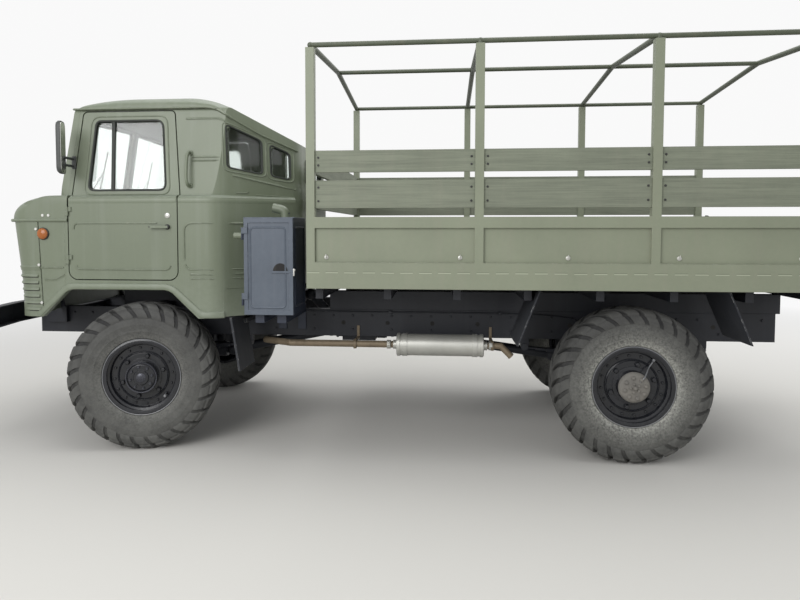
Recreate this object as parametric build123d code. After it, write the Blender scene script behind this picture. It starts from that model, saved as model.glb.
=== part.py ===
from build123d import *
import os
from math import cos, sin, radians, sqrt

# Light four-wheel-drive military cargo truck with a tilting cab over its engine.
# Millimetres. X runs to the rear, Y to the truck's right, Z up from the ground.
# The origin is on the ground, under the middle of the overall box.

os.makedirs("parts", exist_ok=True)

# Overall layout
overall_length = 5655
front_overhang = 1130
wheelbase = 3300
front_track = 1800
rear_track = 1750
front_axle_x = -overall_length / 2 + front_overhang
rear_axle_x = front_axle_x + wheelbase
rear_end_x = overall_length / 2

# Wheels and tyres
tyre_radius = 502
tyre_width = 320
tyre_bead_radius = 250
tyre_bead_width = 236
tyre_belly_radius = 385
tyre_shoulder_width = 268
lug_height = 28
lug_count = 20
lug_width = 42
lug_sweep = 37
lug_inset = 22
lug_fall = 18
tyre_sides = 40
rim_flange_radius = 262
rim_width = 262
rim_thickness = 8
seat_gap = 0.3
axle_height = tyre_radius
disc_offset = 62
disc_thickness = 12
hub_radius = 96
hub_length = 74
disc_step_radius = 158
disc_rise = 18
hub_flange_radius = 124
hub_start = 30
spindle_radius = 40
running_gap = 0.05
drum_radius = 196
drum_depth = 62

# Steering
kingpin_offset = 100
kingpin_radius = 20
ball_radius = 104
housing_gap = 0.5
housing_thickness = 20
rest_steer = 11
steering_arm_length = 280
steering_arm_inset = 70
tie_rod_radius = 17
tie_rod_drop = 40

# Chassis
rail_top = 915
rail_height = 200
rail_flange = 70
rail_wall = 7
rail_face_y = 450
rail_front = 1028
rail_rear = 120
crossmember_height = 120
crossmember_depth = 60
crossmember_wall = 8

# Axles and springs
axle_tube_radius = 58
differential_radius = 172
differential_width = 250
spring_y = 415
spring_width = 65
leaf_thickness = 8
leaf_count = 7
spring_half_length = 620
spring_camber = 22
spring_plate = 14
damper_radius = 34
damper_y = rail_face_y + damper_radius + 24
damper_offset = 90

# Cab
wall = 42
cab_half_width = 980
cab_front = 890
cab_rear = 1050
skirt_z = 903
moulding_z = 1570
belt_z = 1722
cab_corner_x = 560
cab_corner_y = 545
rear_wall_half_width = 400
cab_floor_z = 1120
cab_floor_thickness = 26
gutter_z = 2332
roof_z = 2468
gutter_half_width = 880
waist_half_width = 925
windscreen_base = 570
windscreen_top = 472
roof_break_x = 530
roof_rear_z = 2085
door_gap = 7
door_front = 480
door_rear = 291
door_front_top = 402
door_rear_top = 247
door_bottom = 1165
door_top = 2318
door_corner = 60
window_bottom = 1778
window_top = 2256
glass_thickness = 6
arch_front_low = 690
arch_front_top = 485
arch_rear_top = 232
arch_rear_low = 445
arch_top_z = 1095
tunnel_half_width = 400
tunnel_top = 1560
tilt_pivot_x = 870
tilt_pivot_z = 1000
column_lean = 17
headlamp_radius = 105
headlamp_y = 690
headlamp_z = 1290
repeater_radius = 42
repeater_depth = 30
repeater_x = 664
repeater_z = 1478
louvre_count = 5
louvre_bottom = 1004
louvre_step = 46
arch_lip = 36
arch_lip_rise = 7

mirror_width = 140
mirror_bottom = 1890
mirror_top = 2230

# Rear towing jaw
hitch_bore = 16
hitch_reach = 104

# Cargo bed
bed_front = 1216
bed_half_width = 1161
bed_bottom = 1130
crossbeam_z = 1050
crossbeam_reach = 1010
crossbeam_count = 8
bed_floor_thickness = 25
panel_thickness = 55
panel_top = 1586
panel_recess_bottom = 1296
panel_recess_top = 1516
recess_depth = 20
post_width = 55
post_top = 2650
bow_radius = 19
eave_radius = 16
ridge_rise = 86
board_thickness = 25
gate_gap = 8
gate_height = 422
hinge_rise = 18
# Bottom and top edge of each side board
boards = [(1642, 1818), (1868, 2006)]
post_count = 4

# Rear lamps
lamp_inner_y = 760
lamp_width = 170
lamp_height = 90

# Locker behind the cab
locker_front = 800
locker_rear = 1126
locker_bottom = 955
locker_top = 1580
locker_outer_y = 1150
locker_inner_y = 770
locker_wall = 20
locker_door_thickness = 22


def at(x):
    """Row x of a point given behind the front axle."""
    return front_axle_x + x


def block(x0, x1, y0, y1, z0, z1):
    """Box between two corners."""
    size = Box(x1 - x0, y1 - y0, z1 - z0)
    return Pos((x0 + x1) / 2, (y0 + y1) / 2, (z0 + z1) / 2) * size


def mirrored(shape):
    """The same shape on the other side of the truck."""
    return mirror(shape, about=Plane.XZ)


def pair(shape):
    """A shape and its mirror image."""
    return [shape, mirrored(shape)]


def side_prism(points, y0, y1, radii=None):
    """Outline in X and Z, its corners rounded where a radius is given, carried from y0 to y1."""
    face = Polygon(*points, align=None)
    face = rounded(face, points, radii)
    return extrude(Plane.XZ.offset(-y0) * face, y1 - y0, dir=(0, 1, 0))


def plan_prism(points, z0, z1, radii=None):
    """Outline in X and Y carried from z0 up to z1."""
    face = rounded(Polygon(*points, align=None), points, radii)
    return extrude(Plane.XY.offset(z0) * face, z1 - z0, dir=(0, 0, 1))


def front_prism(points, x0, x1, radii=None):
    """Outline in Y and Z carried from x0 to x1."""
    face = rounded(Polygon(*points, align=None), points, radii)
    return extrude(Plane.YZ.offset(x0) * face, x1 - x0, dir=(1, 0, 0))


def rounded(face, points, radii):
    """Rounds the corners of a flat face that have a radius."""
    if radii is None:
        return face
    for point, radius in zip(points, radii):
        if radius > 0:
            corner = face.vertices().sort_by_distance((point[0], point[1], 0))[0]
            face = fillet(corner, radius)
    return face


def turned(points):
    """Profile of (y, radius) points turned about the Y axis."""
    face = Plane.YZ * Polygon(*points, align=None)
    return revolve(face, Axis.Y, 360)


def rod_y(x, z, y0, y1, radius):
    """Round bar along Y."""
    return Pos(x, (y0 + y1) / 2, z) * Rot(90, 0, 0) * Cylinder(radius, y1 - y0)


def rod_x(y, z, x0, x1, radius):
    """Round bar along X."""
    return Pos((x0 + x1) / 2, y, z) * Rot(0, 90, 0) * Cylinder(radius, x1 - x0)


def rod_z(x, y, z0, z1, radius):
    """Round bar along Z."""
    return Pos(x, y, (z0 + z1) / 2) * Cylinder(radius, z1 - z0)


def bar_between(a, b, radius):
    """Round bar between two points."""
    a, b = Vector(*a), Vector(*b)
    return Solid.make_cylinder(radius, (b - a).length, Plane(origin=a, z_dir=b - a))


def write(name, shapes):
    """One STEP file for the solids of one node."""
    solids = []
    for shape in shapes:
        solids.extend(shape.solids())
    export_step(Compound(solids), f"parts/{name}.step")


# Wheels, made at the origin with the outer side towards +Y

def tyre():
    """Carcass of flat facets with two rows of slanted lugs, the rows half a step apart."""
    half, shoulder, bead = tyre_width / 2, tyre_shoulder_width / 2, tyre_bead_width / 2
    tread = tyre_radius - lug_height
    bore = tyre_bead_radius + 1
    # Half width and radius of each ring of corners
    rings = [(-shoulder, tread), (-half, tyre_belly_radius), (-bead, bore), (bead, bore),
             (half, tyre_belly_radius), (shoulder, tread)]
    body = faceted_ring(rings, tyre_sides)
    step = 360 / lug_count
    lugs = []
    for number in range(lug_count):
        lugs.append(lug().rotate(Axis.Y, number * step))
        lugs.append(mirrored(lug()).rotate(Axis.Y, (number + 0.5) * step))
    return body.fuse(*lugs)


def faceted_ring(rings, sides):
    """Closed ring about the Y axis with flat faces between rings of corners given by width and radius."""
    faces = []
    for (y0, r0), (y1, r1) in zip(rings, rings[1:] + rings[:1]):
        for number in range(sides):
            a, b = radians(360 * number / sides), radians(360 * (number + 1) / sides)
            corners = [(r0 * cos(a), y0, r0 * sin(a)), (r1 * cos(a), y1, r1 * sin(a)),
                       (r1 * cos(b), y1, r1 * sin(b)), (r0 * cos(b), y0, r0 * sin(b))]
            faces.append(Face(Wire.make_polygon([Vector(*c) for c in corners])))
    return Solid(Shell(faces))


def lug():
    """One lug at the top of the tyre: its inner end leads, its outer end bends down the shoulder."""
    half = tyre_width / 2
    tip, tread = tyre_radius, tyre_radius - lug_height
    end = half - lug_inset
    plan = plan_prism([(-lug_width / 2, 6), (lug_width / 2, 6), (lug_width / 2 + lug_sweep, end),
                       (-lug_width / 2 + lug_sweep, end)], tread - 110, tip + 10)
    # Height of the lug across the tread
    crown = front_prism([(6, tread - 30), (6, tip), (end, tip - lug_fall), (end - 8, tread - 30)],
                        -lug_width, lug_width + lug_sweep)
    return plan & crown


def rim():
    """Rim with its lock ring, dished disc with a raised centre, and hub, bored for its spindle."""
    edge = rim_width / 2
    inner = tyre_bead_radius - rim_thickness
    disc = disc_offset
    channel = turned([(-edge, inner), (edge - 20, inner), (edge - 12, inner - 10), (edge + 2, inner - 10),
                      (edge + 4, inner + 8), (edge, rim_flange_radius), (edge - rim_thickness, rim_flange_radius),
                      (edge - rim_thickness, tyre_bead_radius), (-edge + rim_thickness, tyre_bead_radius),
                      (-edge + rim_thickness, rim_flange_radius), (-edge, rim_flange_radius)])
    # The disc from its seat in the rim, over the bolted ring, up the step to the raised centre
    front = [(disc + 40, inner + 1), (disc + 34, inner - 22), (disc + 8, inner - 30), (disc + 8, disc_step_radius + 12),
             (disc + disc_rise, disc_step_radius), (disc + disc_rise, hub_radius - 8)]
    back = [(y - disc_thickness, r - (2 if r > hub_radius else 0)) for y, r in reversed(front)]
    plate = turned(front + back)
    nose = disc + disc_rise + hub_length
    bore = spindle_radius + running_gap
    hub = turned([(hub_start, bore), (disc + 60, bore), (disc + 60, 0), (nose, 0), (nose, hub_radius * 0.5),
                  (nose - 8, hub_radius * 0.55), (nose - 8, hub_radius * 0.9), (nose - 14, hub_radius),
                  (disc + 60, hub_radius + 4), (disc + disc_rise + 8, hub_radius + 6),
                  (disc + disc_rise + 6, hub_flange_radius), (disc + disc_rise - 3, hub_flange_radius),
                  (disc - 2, 84), (hub_start, 84)])
    drum = turned([(disc - drum_depth, drum_radius - 12), (disc - drum_depth, drum_radius),
                   (disc, drum_radius), (disc, 84), (disc - 10, 84), (disc - 10, drum_radius - 12)])
    return channel + plate + hub + drum


def placed_wheel(shape, x, track, side, steer=0):
    """A wheel piece carried to its axle's end; side is -1 on the left."""
    if side < 0:
        shape = mirrored(shape)
    moved = Pos(x, side * track / 2, axle_height) * shape
    if steer:
        moved = moved.rotate(kingpin_axis(side), steer)
    return moved


def kingpin_axis(side):
    """Vertical axis that a front wheel steers about."""
    y = side * (front_track / 2 - kingpin_offset)
    return Axis((front_axle_x, y, 0), (0, 0, 1))


# Steering knuckles and tie rod

def housing(inner, outer):
    """Cup between two spheres, open towards the axle."""
    upright = Rot(90, 0, 0)
    reach = outer + 10
    cup = upright * Sphere(outer) - upright * Sphere(inner)
    return cup - block(-reach, reach, -reach, -20, -reach, reach)


def knuckle(side):
    """Housing round the axle's ball with kingpins, backing plate, spindle and steering arm."""
    ball_y = -kingpin_offset
    inner = ball_radius + housing_gap
    outer = inner + housing_thickness
    shell = Pos(0, ball_y, 0) * housing(inner, outer)
    pins = [rod_z(0, ball_y, ball_radius - 46, outer + 16, kingpin_radius),
            rod_z(0, ball_y, -outer - 16, -ball_radius + 46, kingpin_radius)]
    caps = [rod_z(0, ball_y, outer - 6, outer + 16, 46), rod_z(0, ball_y, -outer - 16, -outer + 6, 46)]
    spindle_root = ball_y + ball_radius + housing_gap + 1
    spindle = rod_y(0, 0, spindle_root, disc_offset + 50, spindle_radius)
    spindle += rod_y(0, 0, spindle_root, hub_start - 1, 60)
    plate_y = disc_offset - drum_depth - 5
    plate = turned([(plate_y - 5, 70), (plate_y, 70), (plate_y, drum_radius - 4), (plate_y - 5, drum_radius - 4)])
    arm_y = ball_y - steering_arm_inset
    eye = rod_z(-steering_arm_length, arm_y, -tie_rod_drop + tie_rod_radius + 1,
                -tie_rod_drop + tie_rod_radius + 23, 26)
    arm = plan_prism([(6 - outer, ball_y - 44), (-steering_arm_length, arm_y - 20),
                      (-steering_arm_length, arm_y + 12), (14 - outer, ball_y + 4)],
                     -tie_rod_drop + tie_rod_radius + 1, -tie_rod_drop + tie_rod_radius + 23)
    body = shell + pins[0] + pins[1] + caps[0] + caps[1] + spindle + plate + arm + eye
    return placed_wheel(body, front_axle_x, front_track, side, rest_steer)


def arm_end(side, steer):
    """Where a steering arm's eye stands when the wheels are turned by an angle."""
    kingpin_y = side * (front_track / 2 - kingpin_offset)
    along, across = -steering_arm_length, -side * steering_arm_inset
    turn = radians(steer)
    x = along * cos(turn) - across * sin(turn)
    y = along * sin(turn) + across * cos(turn)
    return front_axle_x + x, kingpin_y + y


def tie_rod():
    """Rod under the two steering arms, with an upright pin's head below each eye."""
    z = axle_height - tie_rod_drop
    ends = [(*arm_end(side, rest_steer), z) for side in (-1, 1)]
    rod = bar_between(ends[0], ends[1], tie_rod_radius)
    for x, y, height in ends:
        rod += rod_z(x, y, height - 22, height + tie_rod_radius + 0.7, 25)
    return rod


# Axles

def axle(x, ball_ends, nose_direction):
    """Axle tube with its round differential housing and the pinion's neck."""
    end = front_track / 2 - kingpin_offset if ball_ends else rear_track / 2 + hub_start - 1
    tube_end = end - ball_radius / 2 if ball_ends else end
    body = rod_y(x, axle_height, -tube_end, tube_end, axle_tube_radius)
    bulge = turned([(-differential_width / 2, 0), (-differential_width / 2, 70), (-60, differential_radius),
                    (60, differential_radius), (differential_width / 2, 70), (differential_width / 2, 0)])
    body += Pos(x, 0, axle_height) * bulge
    neck_end = x + nose_direction * 300
    low, high = sorted((x, neck_end))
    body += rod_x(0, axle_height + 20, low, high, 62)
    for side in (-1, 1):
        if ball_ends:
            ball = Pos(x, side * end, axle_height) * Sphere(ball_radius)
            ball -= rod_z(x, side * end, axle_height - ball_radius - 5, axle_height - ball_radius + 48,
                          kingpin_radius + running_gap)
            ball -= rod_z(x, side * end, axle_height + ball_radius - 48, axle_height + ball_radius + 5,
                          kingpin_radius + running_gap)
            body += ball
        else:
            tip = rear_track / 2 + disc_offset + 50
            y0, y1 = sorted((side * end, side * tip))
            body += rod_y(x, axle_height, y0, y1, spindle_radius)
            flange_y = rear_track / 2 + disc_offset - drum_depth - 5
            y0, y1 = sorted((side * flange_y, side * (flange_y - 6)))
            body += rod_y(x, axle_height, y0, y1, drum_radius - 4)
    for side in (-1, 1):
        seat = block(x - 60, x + 60, side * spring_y - 38, side * spring_y + 38,
                     axle_height, axle_height + axle_tube_radius + spring_plate)
        y0, y1 = sorted((side * (damper_y + 24.3), side * (damper_y + 40)))
        foot_x = x + nose_direction * damper_offset
        bracket = block(*sorted((x, foot_x + nose_direction * 24)), y0, y1, axle_height - 20, axle_height + 44)
        body += seat + bracket
    return body


# Springs: concentric leaves, each shorter than the one above it

def spring(x, side):
    """Stack of arched leaves clamped to the axle, with an eye at each end of the main leaf."""
    seat_z = axle_height + axle_tube_radius + spring_plate
    chord = spring_half_length
    radius = (chord ** 2 + spring_camber ** 2) / (2 * spring_camber)
    centre_z = seat_z + leaf_count * leaf_thickness + radius
    y0 = side * spring_y - spring_width / 2
    stack = None
    for number in range(leaf_count):
        outer = radius + (number + 1) * leaf_thickness - leaf_thickness
        reach = chord * (1 - number / (leaf_count + 1))
        leaf = leaf_arc(x, centre_z, outer, outer + leaf_thickness, reach, y0)
        stack = leaf if stack is None else stack + leaf
    eye_z = centre_z - sqrt(radius ** 2 - chord ** 2)
    for end in (-1, 1):
        stack += rod_y(x + end * chord, eye_z, y0, y0 + spring_width, 26)
    clamp = block(x - 55, x + 55, y0 - 12, y0 + spring_width + 12,
                  seat_z, seat_z + (leaf_count + 2) * leaf_thickness)
    hanger_z = rail_top - rail_height
    for end in (-1, 1):
        hanger_x = x + end * chord
        clear = eye_z + 10
        stack += block(hanger_x - 30, hanger_x + 30, y0 + 8, y0 + spring_width - 8, clear, hanger_z)
    return stack + clamp


def leaf_arc(x, centre_z, inner, outer, reach, y0):
    """One leaf: the space between two arcs about a centre high above the axle."""
    def point(radius, offset):
        return (x + offset, centre_z - sqrt(radius ** 2 - offset ** 2))
    a0, a1, am = point(inner, -reach), point(inner, reach), (x, centre_z - inner)
    b0, b1, bm = point(outer, -reach), point(outer, reach), (x, centre_z - outer)
    edges = [ThreePointArc(a0, am, a1), Line(a1, b1), ThreePointArc(b1, bm, b0), Line(b0, a0)]
    face = make_face(edges)
    return extrude(Plane.XZ.offset(-y0) * face, spring_width, dir=(0, 1, 0))


def damper(x, side, lean):
    """Telescopic damper from the axle's bracket up to the rail's side."""
    y = side * damper_y
    foot_z = axle_height + 20
    top_z = rail_top - 60
    body = bar_between((x, y, foot_z), (x + lean, y, top_z), damper_radius * 0.62)
    body += bar_between((x + lean * 0.42, y, foot_z + 0.42 * (top_z - foot_z)), (x + lean, y, top_z),
                        damper_radius)
    y0, y1 = sorted((side * rail_face_y, y))
    body += rod_y(x + lean, top_z, y0, y1, 16)
    body += rod_y(x, foot_z, y - 24, y + 24, 24)
    return body


# Chassis frame

def rail(side):
    """Channel-section side rail, open towards the middle."""
    top, low = rail_top, rail_top - rail_height
    face, inner = rail_face_y, rail_face_y - rail_flange
    points = [(face, low), (face, top), (inner, top), (inner, top - rail_wall), (face - rail_wall, top - rail_wall),
              (face - rail_wall, low + rail_wall), (inner, low + rail_wall), (inner, low)]
    if side < 0:
        points = [(-y, z) for y, z in points]
    return front_prism(points, at(-rail_front), rear_end_x - rail_rear)


def crossmember(x):
    """Channel between the rails' webs."""
    mid = rail_top - rail_height / 2
    low, top = mid - crossmember_height / 2, mid + crossmember_height / 2
    points = [(x, low), (x + crossmember_depth, low), (x + crossmember_depth, low + crossmember_wall),
              (x + crossmember_wall, low + crossmember_wall), (x + crossmember_wall, top - crossmember_wall),
              (x + crossmember_depth, top - crossmember_wall), (x + crossmember_depth, top), (x, top)]
    reach = rail_face_y - rail_wall
    return side_prism(points, -reach, reach)


def crossmember_places():
    """Front faces of the crossmembers, from the frame's ends and the axles."""
    rear_end = rear_end_x - rail_rear
    return [at(-rail_front) + 38, at(640), at(1700), rear_axle_x - 780, rear_axle_x + 400, rear_end - 135]


def tilt_bracket(side):
    """Ear on the rail's front end with the pin that the cab tilts on."""
    inner = rail_face_y
    y0, y1 = sorted((side * inner, side * (inner + 40)))
    foot = block(at(-960), at(-800), y0, y1, rail_top - 120, rail_top)
    e0, e1 = sorted((side * (inner + 20), side * (inner + 40)))
    ear = side_prism([(at(-930), rail_top - 20), (at(-810), rail_top - 20), (at(-tilt_pivot_x + 26), tilt_pivot_z + 22),
                      (at(-tilt_pivot_x - 26), tilt_pivot_z + 22)], e0, e1)
    p0, p1 = sorted((side * (inner + 20), side * (inner + 72)))
    return foot + ear + rod_y(at(-tilt_pivot_x), tilt_pivot_z, p0, p1, 15)


def cab_rest(side):
    """Post from the rail's top up to the cab floor's rear end."""
    y0, y1 = sorted((side * 385, side * 445))
    return block(at(880), at(960), y0, y1, rail_top, cab_floor_z - 0.3)


def bumper():
    """Channel bumper with ends swept back, its arms and two towing hooks."""
    low, top = 826, 970
    front, depth = 1100, 66
    outer = [(at(-front), -700), (at(-front + 62), -1062), (at(-front + 62 + depth), -1062),
             (at(-front + depth), -700), (at(-front + depth), 700), (at(-front + 62 + depth), 1062),
             (at(-front + 62), 1062), (at(-front), 700)]
    hollow = [(x + 8, y) for x, y in outer]
    body = plan_prism(outer, low, top) - plan_prism([(x + 8, y * 1.02) for x, y in hollow], low + 8, top - 8)
    for side in (-1, 1):
        y0, y1 = sorted((side * 385, side * 443))
        body += block(at(-front + 4), at(-rail_front), y0, y1, 826, 905)
        body += hook(side * 414)
    return body


def hook(y):
    """Forged towing hook standing out of the bumper's top."""
    return block(at(-1125), at(-1060), y - 16, y + 16, 960, 1002) + rod_y(at(-1112), 985, y - 16, y + 16, 18)


# Engine, gearboxes and shafts

def engine():
    """Engine as one block with its two mounting feet on the rails."""
    body = block(at(-430), at(350), -290, 290, 745, 1420)
    for side in (-1, 1):
        y0, y1 = sorted((side * 280, side * 440))
        body += block(at(-120), at(-20), y0, y1, rail_top, rail_top + 34)
    return body


def gearbox():
    """Clutch housing and gearbox behind the engine."""
    housing = Pos(at(350), 0, 1000) * Rot(0, 90, 0) * Cone(230, 150, 180, align=(Align.CENTER, Align.CENTER, Align.MIN))
    case = block(at(529), at(900), -140, 140, 880, 1120)
    return housing + case + rod_x(0, 980, at(899), at(960), 60)


def transfer_case():
    """Transfer case hung between two crossmembers."""
    case = block(at(1300), at(1560), -190, 190, 640, 900)
    case += rod_x(0, 800, at(1250), at(1301), 60)
    case += rod_x(0, 690, at(1559), at(1620), 60)
    case += rod_x(0, 690, at(1240), at(1301), 52)
    for side in (-1, 1):
        y0, y1 = sorted((side * 180, side * (rail_face_y - rail_wall)))
        case += block(at(1400), at(1460), y0, y1, 760, 800)
    return case


def shaft(a, b, radius=36):
    """Propeller shaft with a round flange at each end and a cross joint behind each."""
    start, end = Vector(*a), Vector(*b)
    direction = 1 if b[0] > a[0] else -1
    p = start + Vector(direction * 60, 0, 0)
    q = end - Vector(direction * 60, 0, 0)
    body = bar_between(tuple(p), tuple(q), radius)
    body += Pos(*p) * Sphere(50)
    body += Pos(*q) * Sphere(50)
    x0, x1 = sorted((a[0], a[0] + direction * 60))
    body += rod_x(a[1], a[2], x0, x1, 34)
    x0, x1 = sorted((b[0], b[0] - direction * 60))
    body += rod_x(b[1], b[2], x0, x1, 34)
    body += rod_x(a[1], a[2], *sorted((a[0], a[0] + direction * 14)), 58)
    body += rod_x(b[1], b[2], *sorted((b[0], b[0] - direction * 14)), 58)
    return body


def exhaust_pipes():
    """Front pipe from the engine to the muffler, and the turned-down tail pipe."""
    y, z = -640, 690
    front = bar_between((at(990), y, z), (at(1735), y, z), 24)
    front += bar_between((at(760), -470, z - 8), (at(990), y, z), 24) + Pos(at(990), y, z) * Sphere(24)
    tail = bar_between((at(2395), y, z), (at(2490), y, z), 22)
    tail += bar_between((at(2490), y, z), (at(2560), y, z - 70), 22) + Pos(at(2490), y, z) * Sphere(22)
    hangers = []
    for x in (1450, 2420):
        ring = rod_x(y, z, at(x), at(x + 20), 34)
        arm = block(at(x), at(x + 20), y, -rail_face_y, z + 10, z + 26)
        strap = block(at(x), at(x + 20), -rail_face_y - 8, -rail_face_y, z + 10, rail_top - 120)
        hangers.append(ring + arm + strap)
    return [front + hangers[0], tail + hangers[1]]


def muffler():
    """Round silencer with rolled end beads."""
    y, z = -640, 690
    body = rod_x(y, z, at(1760), at(2370), 76)
    body += rod_x(y, z, at(1735), at(1760), 32) + rod_x(y, z, at(2370), at(2395), 32)
    for x in (1765, 2345):
        body += rod_x(y, z, at(x), at(x + 20), 81)
    return body


def fuel_tank():
    """Fuel tank with rounded edges on the right rail, on two brackets."""
    tank = front_prism([(560, 600), (1060, 600), (1060, 1000), (560, 1000)], at(1500), at(2300),
                       [60, 60, 60, 60])
    for x in (1620, 2140):
        tank += block(at(x), at(x + 40), rail_face_y, 600, 730, 860)
    tank += rod_z(at(1600), 980, 990, 1030, 42)
    return tank


# Cargo bed

def post_positions():
    """Centres of the posts along the bed's side."""
    first = at(bed_front) + post_width / 2
    last = rear_end_x - panel_thickness - gate_gap - post_width / 2
    step = (last - first) / (post_count - 1)
    return [first + step * number for number in range(post_count)]


def bed_sills():
    """Two long bearers on top of the rails."""
    bearers = []
    for side in (-1, 1):
        y0, y1 = sorted((side * 375, side * 449))
        bearers.append(block(at(bed_front + 30), rear_end_x - 90, y0, y1, rail_top, crossbeam_z))
    return bearers


def bed_crossbeams():
    """Channel beams across the bearers, under the floor."""
    beams = []
    count = crossbeam_count
    first, last = at(bed_front) + 30, rear_end_x - panel_thickness - gate_gap - 50
    for number in range(count):
        x = first + (last - first) * number / (count - 1)
        beams.append(block(x, x + 50, -crossbeam_reach, crossbeam_reach, crossbeam_z, bed_bottom))
    return beams


def bed_floor():
    """Floor plate between the side panels."""
    inner = bed_half_width - panel_thickness
    back = rear_end_x - panel_thickness - gate_gap
    return block(at(bed_front) + panel_thickness, back, -inner, inner, bed_bottom, bed_bottom + bed_floor_thickness)


def recessed_panel(length, bays):
    """Panel along X, its outer face at y=0, with a shallow recess between each two posts."""
    body = block(0, length, 0, panel_thickness, bed_bottom, panel_top)
    for x0, x1 in bays:
        body -= block(x0, x1, -1, recess_depth, panel_recess_bottom, panel_recess_top)
    return body


def bed_wall(side):
    """Side wall: recessed steel panel with four posts that run up to the canopy's eaves."""
    x0 = at(bed_front)
    length = rear_end_x - panel_thickness - gate_gap - x0
    centres = [x - x0 for x in post_positions()]
    half = post_width / 2
    bays = [(a + half, b - half) for a, b in zip(centres, centres[1:])]
    body = recessed_panel(length, bays)
    for centre in centres:
        body += block(centre - half, centre + half, 0, panel_thickness, panel_top - 1, post_top)
    body = Pos(x0, -bed_half_width, 0) * body
    return mirrored(body) if side > 0 else body


def front_wall():
    """Front wall of the bed between the side walls."""
    inner = bed_half_width - panel_thickness
    x0 = at(bed_front)
    body = block(x0, x0 + panel_thickness, -inner, inner, bed_bottom, panel_top)
    body -= block(x0 - 1, x0 + recess_depth, -inner + 60, inner - 60, panel_recess_bottom, panel_recess_top)
    return body


def side_boards():
    """Planks between the posts on both sides and across the front."""
    planks = []
    centres = post_positions()
    half = post_width / 2
    for side in (-1, 1):
        y0, y1 = sorted((side * (bed_half_width - 14), side * (bed_half_width - 14 - board_thickness)))
        for low, top in boards:
            for a, b in zip(centres, centres[1:]):
                planks.append(block(a + half, b - half, y0, y1, low, top))
    inner = bed_half_width - panel_thickness
    for low, top in boards:
        x0 = at(bed_front) + 14
        planks.append(block(x0, x0 + board_thickness, -inner, inner, low, top))
    return planks


def canopy_frame():
    """Gabled bows of round tube over the posts, with eaves and a ridge tube between them."""
    centre_y = bed_half_width - panel_thickness / 2
    centres = post_positions()
    eave_z = post_top + bow_radius
    ridge_z = eave_z + ridge_rise
    frame = None
    for x in centres:
        for side in (-1, 1):
            eave, ridge = (x, side * centre_y, eave_z), (x, 0, ridge_z)
            bow = bar_between(eave, ridge, bow_radius) + Pos(*eave) * Sphere(bow_radius)
            foot = rod_z(x, side * centre_y, post_top, eave_z, bow_radius)
            frame = bow + foot if frame is None else frame + bow + foot
        frame += Pos(x, 0, ridge_z) * Sphere(bow_radius)
    frame += rod_x(0, ridge_z, centres[0], centres[-1], eave_radius)
    for side in (-1, 1):
        frame += rod_x(side * centre_y, eave_z, centres[0], centres[-1], eave_radius)
    return frame


def tailgate():
    """Rear gate hinged at its lower edge."""
    inner = bed_half_width - 6
    x1 = rear_end_x
    body = block(x1 - panel_thickness, x1, -inner, inner, panel_top - gate_height, panel_top)
    for side in (-1, 1):
        y0, y1 = sorted((side * 40, side * (inner - 60)))
        body -= block(x1 - recess_depth, x1 + 1, y0, y1, panel_recess_bottom, panel_recess_top)
    for y in gate_hinge_rows:
        barrel = block(gate_axis_x - 9, gate_axis_x + 9, y + 0.3, y + 40, gate_axis_z, gate_bottom)
        barrel += rod_y(gate_axis_x, gate_axis_z, y + 0.3, y + 40, 11)
        body += barrel - rod_y(gate_axis_x, gate_axis_z, y - 1, y + 41, 5 + running_gap)
    return body


# Hinges of the rear gate: rows along Y, the axis just below the gate
gate_hinge_rows = [-800, -20, 760]
gate_bottom = panel_top - gate_height
gate_axis_z = gate_bottom - hinge_rise
gate_axis_x = rear_end_x - panel_thickness / 2


def gate_hinges_fixed():
    """Eyes with their pins on the last crossbeam's rear face."""
    parts = []
    face = rear_end_x - panel_thickness - gate_gap
    for y in gate_hinge_rows:
        leaf = block(face, gate_axis_x, y - 40, y, gate_axis_z - 8, gate_axis_z + 8)
        strap = block(face, face + 6, y - 40, y, bed_bottom - 60, gate_axis_z + 8)
        eye = rod_y(gate_axis_x, gate_axis_z, y - 40, y, 11)
        pin = rod_y(gate_axis_x, gate_axis_z, y - 40, y + 40, 5)
        parts.append(leaf + strap + eye + pin)
    return parts


# Locker

def locker_body():
    """Steel locker, open on its outer side, on a bracket from the rail."""
    x0, x1 = at(locker_front), at(locker_rear)
    face = -locker_outer_y + locker_door_thickness + 1
    body = block(x0, x1, face, -locker_inner_y, locker_bottom, locker_top)
    body -= block(x0 + locker_wall, x1 - locker_wall, -locker_outer_y, -locker_inner_y - locker_wall,
                  locker_bottom + locker_wall, locker_top - locker_wall)
    body += block(x0 + 60, x0 + 120, -locker_outer_y + 60, -rail_face_y, locker_bottom - 60, locker_bottom)
    body += block(x1 - 120, x1 - 60, -locker_outer_y + 60, -rail_face_y, locker_bottom - 60, locker_bottom)
    for x in (x0 + 60, x1 - 120):
        body += block(x, x + 60, -rail_face_y - 12, -rail_face_y, rail_top - 150, locker_bottom)
    body += rod_x(-locker_outer_y + 150, locker_top - 115, x0 - 105, x0 + 1, 20)
    body += rod_z(x1 - 110, -locker_inner_y - 110, locker_top - 1, locker_top + 30, 24)
    body += Pos(x1 - 110, -locker_inner_y - 110, locker_top + 30) * Sphere(30)
    for z in locker_hinge_rows:
        leaf = block(x0 - 6, x0, -locker_outer_y, face + 30, z, z + 40)
        barrel = rod_z(x0 - 6, -locker_outer_y, z, z + 40, 7)
        pin = rod_z(x0 - 6, -locker_outer_y, z, z + 80, 3.5)
        body += leaf + barrel + pin
    return body


locker_hinge_rows = [locker_bottom + 60, locker_top - 140]


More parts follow.
